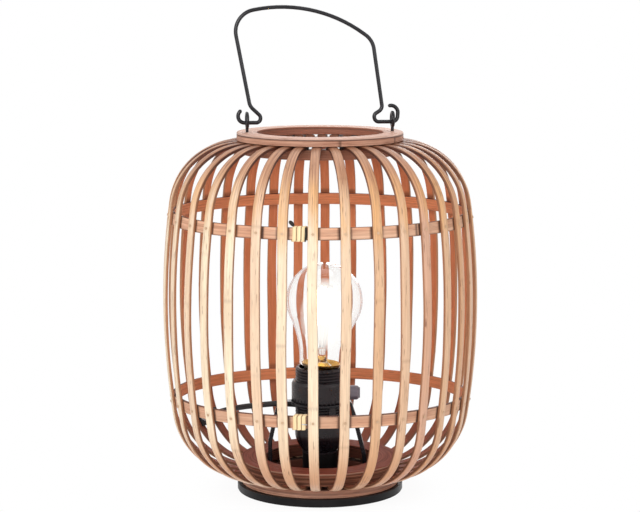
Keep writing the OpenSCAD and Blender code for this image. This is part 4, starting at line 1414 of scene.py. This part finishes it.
@dataclass
class Hoop:
    """One of the two hoops inside the ribs, with its cane binding. Sizes are in millimetres."""

    shop: Workshop
    cage: RibCage
    name: str
    height: float
    tilt: float
    seam: float
    width: float = 9.5
    thickness: float = 2.6
    gap: float = 0.35
    edge_rounding: float = 0.6
    edge_line: float = 0.15
    turns: int = 3
    turn_steps: int = 48
    turn_length: float = 26.0
    strand: float = 3.1
    strand_thickness: float = 1.0
    strand_gap: float = 0.15
    strand_section: tuple[Pair, ...] = (
        (-1, 0.15), (-0.86, 0.75), (-0.5, 1.0), (0, 1.08), (0.5, 1.0), (0.86, 0.75), (1, 0.15),
        (0.9, -0.7), (0.5, -1.0), (0, -1.0), (-0.5, -1.0), (-0.9, -0.7),
    )
    strand_tint: Spot = (0.5, 0.8, 0.1)  # share of the length, reach across, honey
    spacing: float = 3.4
    shift: float = 0.45
    twine: tuple[tuple[float, tuple[Spot, ...]], ...] = ()
    twine_tip: float = 0.3
    pin: tuple[Spot, ...] = ()
    pin_radius: float = 0.42

    def seat(self) -> Pair:
        """Radius and slope, in radians, of the ribs' inner face at the hoop.

        Returns:
            The radius in millimetres, and the slope.
        """
        depth = self.cage.side_radius - self.cage.thickness
        slope = math.asin((self.height - self.cage.belly_height) / depth)
        return self.cage.side_centre[0] + depth * math.cos(slope), slope

    def placed(self, points: np.ndarray) -> np.ndarray:
        """Tilt and lift points from the hoop's own plane into the lamp.

        Args:
            points: Points in the hoop's plane.

        Returns:
            The points in the lamp.
        """
        radius, slope = self.seat()
        made = spun(points, 1, 2, -self.tilt)
        made[..., 1] -= -math.tan(slope) * radius * math.sin(math.radians(self.tilt))
        made[..., 2] += self.height
        return made

    def band(self) -> Piece:
        """The bent strip, rounded along its edges.

        Returns:
            The strip.
        """
        radius, slope = self.seat()
        outer, inner, half = -self.gap, -self.gap - self.thickness, self.width / 2
        flat = rounded(box(outer, inner, -half, half), self.edge_rounding)
        c, s = math.cos(slope), math.sin(slope)
        profile = [(radius + x * c - y * s, x * s + y * c) for x, y in flat]
        marks = RingMarks(
            seams=[self.seam],
            # Beside each rib the hoop darkens with staining and painted contact shadow.
            held=[self.cage.azimuth(i) for i in range(self.cage.count)],
            grip=self.cage.width / 2,
            joints=((self.edge_line - half, 0.7), (half - self.edge_line, 0.7)),
        )
        return self.shop.turned(f"cane_hoop_{self.name}", profile, 720, self.height, self.placed, marks)

    def binding(self) -> Piece:
        """The strand of cane wound round the hoop between two ribs.

        Returns:
            The wound strand.
        """
        radius, slope = self.seat()
        around, steps = self.turn_steps, self.turns * self.turn_steps
        reach = self.strand_gap + self.strand_thickness / 2
        middle = (self.cage.azimuth(self.cage.count - 1) - 360 + self.cage.azimuth(0)) / 2 + self.shift
        rings, place, tint, mark = (np.zeros((steps + 1, len(self.strand_section), 3)) for _ in range(4))
        edge = np.zeros(rings.shape[:2])
        along = 0.0
        for j in range(steps + 1):
            corner, part = divmod((j + around // 2) % around, around // 4)
            bend = math.radians(90 * corner + 90 * part / (around // 4 - 1))
            across = (1 if corner in (0, 3) else -1) * self.thickness / 2
            upward = (1 if corner < 2 else -1) * self.width / 2
            az = math.radians(middle) + (j / around - self.turns / 2) * self.spacing / radius
            along += self.turn_length / around
            for m, (wide, thick) in enumerate(self.strand_section):
                out = reach + thick * self.strand_thickness / 2
                x = across - self.gap - self.thickness / 2 + out * math.cos(bend)
                y = upward + out * math.sin(bend)
                r = radius + x * math.cos(slope) - y * math.sin(slope)
                w = wide * self.strand / 2
                rings[j, m] = (r * math.sin(az) + w * math.cos(az), -r * math.cos(az) + w * math.sin(az),
                               x * math.sin(slope) + y * math.cos(slope))
                place[j, m] = (along * MM, self.height * MM, w * MM)
                tint[j, m] = (self.strand_tint[0], wide * self.strand_tint[1], self.strand_tint[2])
                edge[j, m] = 1.0 if abs(wide) > 0.95 else 0.0
        return self.shop.loft(
            f"cane_binding_{self.name}", self.placed(rings),
            {"fibre_place": place, "cane_tint": tint, "cane_mark_and_shade": mark, "cane_side": edge}, sharp=60,
        )

    def bits(self) -> None:
        """The ends of black twine and the small pin that hold the binding."""
        for i, (size, ends) in enumerate(self.twine):
            path = eased(ends, 5)
            share = np.linspace(0, 1, len(path))
            sizes = self.twine_tip + (size - self.twine_tip) * np.sqrt(4 * share * (1 - share))
            piece = self.shop.loft(f"twine_{self.name}_{i + 1}", swept(path, sizes, 16), sharp=60)
            self.shop.finish(piece, Finishes.TWINE, "black_wire", "hoop_bindings")
        if self.pin:
            rings = swept(eased(self.pin, 4), self.pin_radius, 14)
            piece = self.shop.loft(f"pin_{self.name}", rings, sharp=60)
            self.shop.finish(piece, Finishes.STEEL, "nail_steel", "hoop_bindings")

    def build(self) -> None:
        """Build the hoop and its binding."""
        self.bits()
        self.shop.finish(self.band(), Finishes.HOOP, "hoop_cane", f"{self.name}_hoop")
        self.shop.finish(self.binding(), Finishes.BINDING, "binding_cane", "hoop_bindings")
        log.info("built the %s hoop", self.name)


# ---------------------------------------------------------------- rings and base


@dataclass(frozen=True)
class Ring:
    """One wooden ring. Sizes are in millimetres.

    Args:
        node: The node it stands for.
        outer: Its outer radius.
        inner: Its inner radius.
        low: Its lower height.
        high: Its upper height.
        finish: Its finish.
        joints: Heights and weights of lines that run round its outside, dark or, below 0, pale with painted
            highlight.
        edge: The rounding of its edges.
        seams: Azimuths of its end seams, in degrees.
    """

    node: str
    outer: float
    inner: float
    low: float
    high: float
    finish: Finishes
    joints: Sequence[Pair] = ()
    edge: float = 0.7
    seams: Sequence[float] = ()

    def profile(self) -> list[Pair]:
        """Its rounded outline, with points along its straight sides so that the grain has room.

        Returns:
            The radius and height of its points.
        """
        outline = rounded(box(self.outer, self.inner, self.low, self.high), self.edge)
        made: list[Pair] = []
        for (x, y), (u, v) in zip(outline, outline[1:] + outline[:1]):
            parts = max(1, round(math.dist((x, y), (u, v)) / 1.5))
            made += [(x + (u - x) * k / parts, y + (v - y) * k / parts) for k in range(parts)]
        return made


@dataclass
class RimAndFoot:
    """The wooden rings that hold the ribs' ends, and the black base. Sizes are in millimetres."""

    shop: Workshop
    rim_outer: float = 65.7
    rim_inner: float = 49.8
    rim_bottom: float = 280.5
    cap_bottom: float = 285.3
    rim_top: float = 287.0
    under_outer: float = 62.0
    under_bottom: float = 270.0
    under_top: float = 277.9
    low_outer: float = 63.0
    low_bottom: float = 6.2
    low_top: float = 13.0
    foot_outer: float = 63.5
    foot_inner: float = 44.0
    foot_bottom: float = 15.88
    foot_cap: float = 23.68
    foot_top: float = 26.08

    def rings(self) -> list[Ring]:
        """The rings, from the rim down.

        Returns:
            One entry for each ring.
        """
        rim, foot = (self.rim_outer, self.rim_inner), (self.foot_outer, self.foot_inner)
        # A weight below 0 is a pale line of painted highlight, as at the low ring's foot and near the cap's
        # top.
        low_lines = ((self.low_bottom + 0.5, -0.7), (9.4, 0.6), (12.8, 0.7))
        foot_lines = ((self.foot_bottom, 0.9), (18.2, 0.8), (21.6, 0.8))
        band_lines = ((self.rim_bottom, 0.8), (self.cap_bottom, 0.7))
        return [
            Ring("top_under_ring", self.under_outer, self.rim_inner, self.under_bottom, self.under_top,
                 Finishes.UNDER_RIM),
            Ring("top_rim_band", *rim, self.rim_bottom, self.cap_bottom, Finishes.RIM, band_lines, 0.5,
                 seams=(13.0, 62.0)),
            Ring("top_ring_cap", *rim, self.cap_bottom, self.rim_top, Finishes.RIM_CAP, band_lines[1:], 0.9),
            Ring("bottom_lower_ring", self.low_outer, self.foot_inner, self.low_bottom, self.low_top,
                 Finishes.LOW_RING, low_lines),
            Ring("bottom_upper_ring", *foot, self.foot_bottom, self.foot_cap, Finishes.FOOT_RING, foot_lines),
            Ring("bottom_ring_cap", *foot, self.foot_cap, self.foot_top, Finishes.FOOT_RING,
                 ((self.foot_cap, 0.8), (25.4, -0.25))),
        ]

    def build(self) -> None:
        """Build the rings and dress the base."""
        for ring in self.rings():
            marks = RingMarks(seams=ring.seams, joints=ring.joints)
            piece = self.shop.turned("wood_" + ring.node, ring.profile(), seed=ring.low, marks=marks)
            slot = "dark_wood" if ring.finish is Finishes.UNDER_RIM else "ring_wood"
            self.shop.finish(piece, ring.finish, slot, ring.node)
        self.shop.dress(Finishes.RUBBER, "base_pad")
        self.shop.dress(Finishes.BASE_PAINT, "base_tray")
        self.shop.dress(Finishes.IRON, "ballast_weight")
        log.info("built the rings and the base")


# ---------------------------------------------------------------- holder, lead, bulb


@dataclass
class LampHolder:
    """The black holder, its switch and stay, and the lead to the outlet. Sizes are in millimetres."""

    shop: Workshop
    lead_radius: float = 2.3
    entry_azimuth: float = 25.0
    entry_radius: float = 16.9
    entry_height: float = 66.0
    entry_steps: Pair = (0.4, 7.0)
    route: tuple[Spot, ...] = (
        (-33, 15.5, 65.4), (-42, 20.4, 63.8), (-52, 26.4, 61.6), (-62, 33.1, 59), (-71.3, 40, 56),
        (-79.8, 46.6, 52.7),
    )
    outlet_seat: Spot = (-93.496, 56.289, 45.0)
    outlet_axis: Spot = (-0.7479, 0.4503, -0.4878)
    outlet_steps: Spot = (-8, 0, 6)
    ring_outer: float = 23.6
    ring_inner: float = 20.0
    ring_bottom: float = 69.2
    ring_top: float = 71.2
    edge: float = 0.4
    legs: dict[str, tuple[Pair, ...]] = field(default_factory=lambda: {
        "left": ((-21, 70.2), (-33, 70.2), (-40, 38), (-40, 7.2), (-28, 7.2)),
        "right": ((21, 70.2), (24.5, 70.2), (35.2, 28), (36.6, 7.2), (25.6, 7.2)),
    })
    leg_bends: tuple[float, ...] = (0, 1.9, 6, 2, 0)
    leg_half_width: float = 5.0
    leg_half: float = 1.0
    leg_swell: float = 0.6
    leg_swell_zone: Zone = (10, 66)
    leg_swell_fade: float = 8.0

    def lead(self) -> Piece:
        """The round lead from the holder to its outlet in the cage.

        Returns:
            The lead.
        """
        turn = math.radians(self.entry_azimuth)
        starts = [self.entry_radius + out for out in self.entry_steps]
        entry = [(-far * math.cos(turn), far * math.sin(turn), self.entry_height) for far in starts]
        seat, axis = Vector(self.outlet_seat), Vector(self.outlet_axis)
        leave = [tuple(seat + axis * out) for out in self.outlet_steps]
        path = eased([*entry, *self.route, *leave], 8)
        return self.shop.loft("held_lead", swept(path, self.lead_radius, 24), sharp=60)

    def leg(self, name: str) -> Piece:
        """One bent leg of the stay, with bevelled edges.

        Args:
            name: Its side, left or right.

        Returns:
            The leg.
        """
        flat = bent(self.legs[name], self.leg_bends)
        ahead, height = heading(flat), flat[:, 1]
        first, last = self.leg_swell_zone
        swell = np.clip(np.minimum(height - first, last - height) / self.leg_swell_fade, 0, 1)
        thick, wide = self.leg_half + self.leg_swell * swell, self.leg_half_width
        corners = ((1, -1), (1, 1), (1, 1), (-1, 1), (-1, 1), (-1, -1), (-1, -1), (1, -1))
        rings = np.zeros((len(flat), len(corners), 3))
        for k, (u, v) in enumerate(corners):
            beside = k in (2, 3, 6, 7)
            out = u * (thick - self.edge if beside else thick)
            put(rings[:, k], flat[:, 0] - ahead[:, 1] * out, v * (wide if beside else wide - self.edge),
                height + ahead[:, 0] * out)
        return self.shop.loft(f"stay_leg_{name}", rings, sharp=30)

    def stay(self) -> None:
        """The strap that holds the holder: its ring and its two bent legs."""
        corners = box(self.ring_outer, self.ring_inner, self.ring_bottom, self.ring_top)
        corners = rounded(corners, self.edge)
        for piece in (self.shop.turned("stay_ring", corners, 96), *(self.leg(name) for name in self.legs)):
            self.shop.finish(piece, Finishes.WIRE, "black_wire", "stay_bracket")

    def build(self) -> None:
        """Build the lead and the stay and dress the holder."""
        self.stay()
        self.shop.finish(self.lead(), Finishes.LEAD, "lead_sheath", "lead")
        self.shop.dress(Finishes.STEEL, "fixing_screws", "screw_shell")
        self.shop.dress(Finishes.BASE_PAINT, "riser_tube")
        self.shop.dress(Finishes.HOLDER, "riser_coupling", "holder_cup", "holder_sleeve", "grip_collar")
        self.shop.dress(Finishes.KNOB, "switch_knob")
        self.shop.dress(Finishes.BRASS, "contact_leaf")
        self.shop.dress(Finishes.OUTLET, "cord_outlet")
        log.info("built the holder's lead and stay")


@dataclass
class LitBulb:
    """The clear bulb with its glass stem, thin wires and glowing sticks. Heights are from the pivot."""

    shop: Workshop
    pivot: float = 85.5
    lean: float = 3.0
    flare_bottom: float = 12.2
    stem_top: float = 25.6
    stem_radius: float = 3.0
    post_top: float = 79.2
    stick_low: float = 47.2
    stick_length: float = 30.5
    stick_radii: tuple[float, ...] = (0.55, 0.95, *[1.05] * 10, 0.95, 0.55)
    stick_ring: float = 5.0
    stick_splay: float = 5.0
    stick_azimuths: tuple[float, ...] = (20, 110, 200, 290)
    wire_radius: float = 0.32
    wire_overlap: float = 0.6
    # Shells of painted glow: radius, low end and high end.
    haze: tuple[Spot, ...] = ((11.0, 34.0, 79.0), (15.0, 30.0, 82.0), (19.0, 26.0, 85.0))
    haze_open: float = 0.04
    collar: tuple[Pair, ...] = (
        (11.9, 12.5), (12.8, 12.7), (14.0, 13.8), (15.1, 15.2), (15.5, 16.6), (15.0, 16.9), (14.2, 15.4),
        (13.2, 14.2),
    )

    def leaned(self, points: np.ndarray) -> np.ndarray:
        """Lean points of the bulb's own frame with the bulb.

        Args:
            points: Points from the pivot, with the bulb upright.

        Returns:
            The points in the lamp.
        """
        made = spun(points, 2, 0, self.lean)
        made[..., 2] += self.pivot
        return made

    def blown(self, name: str, profile: Sequence[Pair]) -> Piece:
        """Turn an open profile that starts and ends near the bulb's axis.

        Args:
            name: The piece's name.
            profile: Radius and height of its points, from the bottom up.

        Returns:
            The new object.
        """
        turn = np.linspace(0, 2 * math.pi, 48, endpoint=False)
        rings = np.array([
            np.stack([r * np.cos(turn), r * np.sin(turn), np.full_like(turn, z)], axis=1) for r, z in profile
        ])
        return self.shop.loft(name, self.leaned(rings), sharp=50)

    def stem(self) -> Piece:
        """The glass flare and stem that carry the sticks.

        Returns:
            The flare and the stem in one piece.
        """
        low, top, post, wide = self.flare_bottom, self.stem_top, self.post_top, self.stem_radius
        flare = [(11.6, low), (11.9, low + 0.5), (9.6, 14.0), (6.6, 16.0), (4.4, 18.6)]
        neck = [(wide + 0.5, 21.5), (wide, 24.0), (wide + 0.3, top + 2), (wide - 0.5, top + 4)]
        neck += [(1.4, top + 5.4), (0.9, top + 7)]
        tip = [(0.8, post - 3), (1.2, post - 1.4), (1.2, post - 0.6), (0.6, post)]
        return self.blown("bulb_stem", [*flare, *neck, *tip])

    def stick(self, azimuth: float) -> np.ndarray:
        """Both ends of a stick in the bulb's own frame.

        Args:
            azimuth: Its azimuth in degrees.

        Returns:
            Its lower and its upper end.
        """
        turn, splay = math.radians(azimuth), math.radians(self.stick_splay)
        out = self.stick_ring + self.stick_length * math.sin(splay)
        high = self.stick_low + self.stick_length * math.cos(splay)
        low_end = (self.stick_ring * math.cos(turn), self.stick_ring * math.sin(turn), self.stick_low)
        return np.array([low_end, (out * math.cos(turn), out * math.sin(turn), high)])

    def filament(self) -> tuple[Piece, Piece]:
        """The four sticks, and the wires that hold them.

        Returns:
            The sticks and the wires, each joined into one mesh.
        """
        sticks, wires = [], []
        top = np.array([0.0, 0.0, self.post_top - 1])
        for azimuth in self.stick_azimuths:
            low, high = self.stick(azimuth)
            along = (high - low) / np.linalg.norm(high - low)
            spots = np.linspace(0, self.stick_length, len(self.stick_radii))
            sticks.append(swept(np.array([low + along * t for t in spots]), np.array(self.stick_radii), 12))
            foot = np.array([low[0] * 0.35, low[1] * 0.35, self.stem_top + 3])
            inside = along * self.wire_overlap
            routes = (
                [foot, (foot + low) / 2 + low * (0.06, 0.06, 0), low + inside],
                [high - inside, (high + top) / 2 + (0, 0, 1.2), top],
            )
            wires += [swept(eased(route, 8), self.wire_radius, 8) for route in routes]
        return self.joined("bulb_sticks", sticks), self.joined("bulb_wires", wires)

    def joined(self, name: str, tubes: Sequence[np.ndarray]) -> Piece:
        """Skin several tubes and join them into one piece.

        Args:
            name: The piece's name.
            tubes: The rings of each, in the bulb's own frame.

        Returns:
            The new object.
        """
        parts = [self.shop.loft(f"{name}_{i}", self.leaned(tube), sharp=60) for i, tube in enumerate(tubes)]
        shape = bmesh.new()
        for part in parts:
            shape.from_mesh(part.data)
            mesh = part.data
            bpy.data.objects.remove(part)
            bpy.data.meshes.remove(mesh)
        mesh = bpy.data.meshes.new(name)
        shape.to_mesh(mesh)
        shape.free()
        return self.shop.close(name, mesh, 60)

    def glow(self) -> None:
        """Shells of thin painted glow round the sticks."""
        turn = np.linspace(self.haze_open, math.pi - self.haze_open, 22)
        for i, (radius, low, high) in enumerate(self.haze):
            middle, half = (low + high) / 2, (high - low) / 2
            profile = [(radius * math.sin(a), middle - half * math.cos(a)) for a in turn]
            self.shop.finish(self.blown(f"bulb_haze_{i + 1}", profile), Finishes.HAZE, "filament_glass")

    def build(self) -> None:
        """Dress the bulb and build what is in it."""
        self.shop.dress(Finishes.GLASS, "bulb_glass")
        self.shop.dress(Finishes.BRASS, "bulb_cap")
        sticks, wires = self.filament()
        inner = ((self.stem(), Finishes.GLASS), (sticks, Finishes.GLOW), (wires, Finishes.STEEL))
        for piece, finish in inner:
            self.shop.finish(piece, finish, "filament_glass", "bulb_filament")
        gold = self.shop.turned("bulb_collar", self.collar, 96, place=self.leaned)
        self.shop.finish(gold, Finishes.BRASS, "brass", "bulb_filament")
        self.glow()
        log.info("built the bulb's stem, sticks and wires")


@dataclass
class HangingGear:
    """The screw eyes and the wire bail. Sizes are in millimetres, in the bail's own plane."""

    shop: Workshop
    axis_height: float = 294.4
    turn: float = 6.0
    wire_radius: float = 1.55
    corners: tuple[Pair, ...] = (
        (-62.1, 10.2), (-64.7, 6.6), (-64.1, 0), (-47.7, 0), (-46.5, 4.8), (-55.2, 13), (-69, 84.6),
        (-4.4, 97.6), (41.6, 64.1), (49.5, 10), (42.5, 5.6), (43.9, 0), (61.3, 0), (61.9, 9), (58.3, 13.2),
        (53.9, 12.4),
    )
    bends: tuple[float, ...] = (0, 5, 5, 3.2, 3.6, 9, 17, 110, 16, 5, 3.3, 3.4, 4.2, 5, 5, 0)

    def bail(self) -> Piece:
        """The bent wire, round and with rounded ends.

        Returns:
            The bail.
        """
        flat = bent(self.corners, self.bends)
        path = np.stack([flat[:, 0], 0 * flat[:, 0], flat[:, 1]], axis=1)
        nearer = np.minimum(np.arange(len(path)), np.arange(len(path))[::-1]) * BEND_STEP
        sizes = self.wire_radius * np.sqrt(np.clip(1 - (1 - nearer / self.wire_radius) ** 2, 0.12, 1))
        sizes[nearer > self.wire_radius] = self.wire_radius
        made = spun(swept(path, sizes, 24, Vector((0, 1, 0))), 0, 1, self.turn)
        made[..., 2] += self.axis_height
        return self.shop.loft("bail_wire", made)

    def build(self) -> None:
        """Build the bail and dress the eyes."""
        self.shop.finish(self.bail(), Finishes.WIRE, "black_wire", "bail_handle", body="bail")
        self.shop.dress(Finishes.WIRE, "screw_eyes")
        log.info("built the bail")


# ---------------------------------------------------------------- studio


@dataclass
class Studio:
    """Camera, floor, world and lamps. Sizes are in metres."""

    camera_height: float = 0.4297
    camera_back: float = 1.715
    pitch: float = 0.140
    lens: float = 122.72
    sensor: float = 36.0
    world_level: float = 0.58
    floor_steps: int = 96
    floor_radii: tuple[float, ...] = (0.0005, 0.1, 0.2, 0.4, 0.8, 1.6, 3.0)
    paper: Colour = (0.93, 0.93, 0.93, 1.0)
    shadow_zone: Zone = (0.064, 0.11)
    shadow_share: float = 0.93
    aim: Spot = (0, 0, 0.14)
    lamps: tuple[tuple[str, Spot, float, float], ...] = (
        ("key", (-1.15, -1.35, 1.15), 1.1, 12.0),
        ("front", (-0.35, -2.1, 0.55), 0.9, 13.0),
        ("fill", (1.5, -1.0, 0.6), 1.2, 6.0),
        ("top", (0.1, 0.5, 1.7), 1.2, 6.0),
        ("back", (0.4, 1.9, 0.7), 1.2, 8.0),
    )

    def add(self, name: str, data: object, place: Sequence[float] = (0, 0, 0)) -> Piece:
        """Add an object to the scene.

        Args:
            name: Its name.
            data: Its mesh, camera or light.
            place: Where it stands.

        Returns:
            The new object.
        """
        made = bpy.data.objects.new(name, data)
        made.location = place
        bpy.context.scene.collection.objects.link(made)
        return made

    def camera(self) -> None:
        """Set the camera at the photograph's view."""
        data = bpy.data.cameras.new("view")
        data.lens, data.sensor_width, data.sensor_fit = self.lens, self.sensor, "HORIZONTAL"
        made = self.add("view", data, (0.0, -self.camera_back, self.camera_height))
        made.rotation_euler = (math.pi / 2 - self.pitch, 0.0, 0.0)
        bpy.context.scene.camera = made

    def seen(self, g: Graph) -> Socket:
        """1 for rays from the camera, from gloss and through glass."""
        rays = g.node("LightPath").outputs
        return g.larger(g.larger(rays["Is Camera Ray"], rays["Is Glossy Ray"]), rays["Is Transmission Ray"])

    def floor(self) -> None:
        """A round white floor that keeps the lamp's shadow."""
        count, bands = self.floor_steps, len(self.floor_radii) - 1
        turn = np.linspace(0, 2 * math.pi, count, endpoint=False)
        points = [(r * math.cos(a), r * math.sin(a), 0.0) for r in self.floor_radii for a in turn]
        starts = [(i * count, j, (j + 1) % count) for i in range(bands) for j in range(count)]
        mesh = bpy.data.meshes.new("studio_floor")
        mesh.from_pydata(points, [], [(s + j, s + k, s + count + k, s + count + j) for s, j, k in starts])
        made = self.add("studio_floor", mesh)
        paper = bpy.data.materials.new("studio_paper")
        paper.use_nodes = True
        paper.node_tree.nodes.clear()
        g = Graph(paper.node_tree)
        diffuse, white, blend = g.node("BsdfDiffuse"), g.node("Emission"), g.node("MixShader")
        diffuse.inputs["Color"].default_value = self.paper
        white.inputs["Strength"].default_value = 1.0
        x, y, _ = g.split(g.node("NewGeometry").outputs["Position"])
        far = g.math("SQRT", g.plus(g.times(x, x), g.times(y, y)))
        share = g.ease(far, *self.shadow_zone, self.shadow_share, 1.0)
        blended = (g.times(share, self.seen(g)), diffuse.outputs[0], white.outputs[0])
        for socket, value in zip(blend.inputs, blended):
            g.feed(socket, value)
        g.shown(blend.outputs[0])
        mesh.materials.append(paper)

    def world(self) -> None:
        """White to the eye and a plain level of light on the lamp."""
        made = bpy.data.worlds.new("studio_world")
        made.use_nodes = True
        made.node_tree.nodes.clear()
        g = Graph(made.node_tree)
        light = g.node("Background")
        level = g.times(self.seen(g), 1.0 - self.world_level)
        g.feed(light.inputs["Strength"], g.plus(level, self.world_level))
        light.inputs["Color"].default_value = (1.0, 1.0, 1.0, 1.0)
        g.shown(light.outputs[0], "World")
        bpy.context.scene.world = made

    def light(self) -> None:
        """Soft lamps aimed at the cage's middle."""
        for name, place, size, power in self.lamps:
            data = bpy.data.lights.new(name, "AREA")
            data.shape, data.size, data.energy = "DISK", size, power
            made = self.add(name, data, place)
            made.rotation_euler = (Vector(self.aim) - Vector(place)).to_track_quat("-Z", "Y").to_euler()

    def build(self) -> None:
        """Set up the studio."""
        self.camera()
        self.floor()
        self.world()
        self.light()
        bpy.context.scene.view_settings.view_transform = "Standard"
        log.info("set up the studio")


def main() -> None:
    """Build the lamp's looks in order."""
    logging.basicConfig(level=logging.INFO, format="%(name)s: %(message)s")
    Studio().build()
    shop = Workshop()
    cage = RibCage(shop)
    cage.build()
    knots = (
        (1.5, ((-19.4, -116.6, 226.8), (-20.4, -117.4, 228.2), (-21.6, -117.8, 229.6),
               (-22.8, -117.2, 230.4))),
        (0.8, ((-10.6, -118.2, 226.0), (-10.4, -119.2, 220.6), (-11.0, -119.6, 215.2))),
    )
    pin = ((-13.4, -118.0, 77.6), (-11.8, -118.6, 77.5), (-9.7, -118.2, 77.3))
    (upper, lower), (level, tilted) = cage.hoop_heights, cage.hoop_tilts
    Hoop(shop, cage, "upper", upper, level, seam=37.8, twine=knots).build()
    Hoop(shop, cage, "lower", lower, tilted, seam=39.1, pin=pin).build()
    RimAndFoot(shop).build()
    HangingGear(shop).build()
    LampHolder(shop).build()
    LitBulb(shop).build()
    log.info("made %d pieces", len(shop.made))


if __name__ == "__main__":
    main()
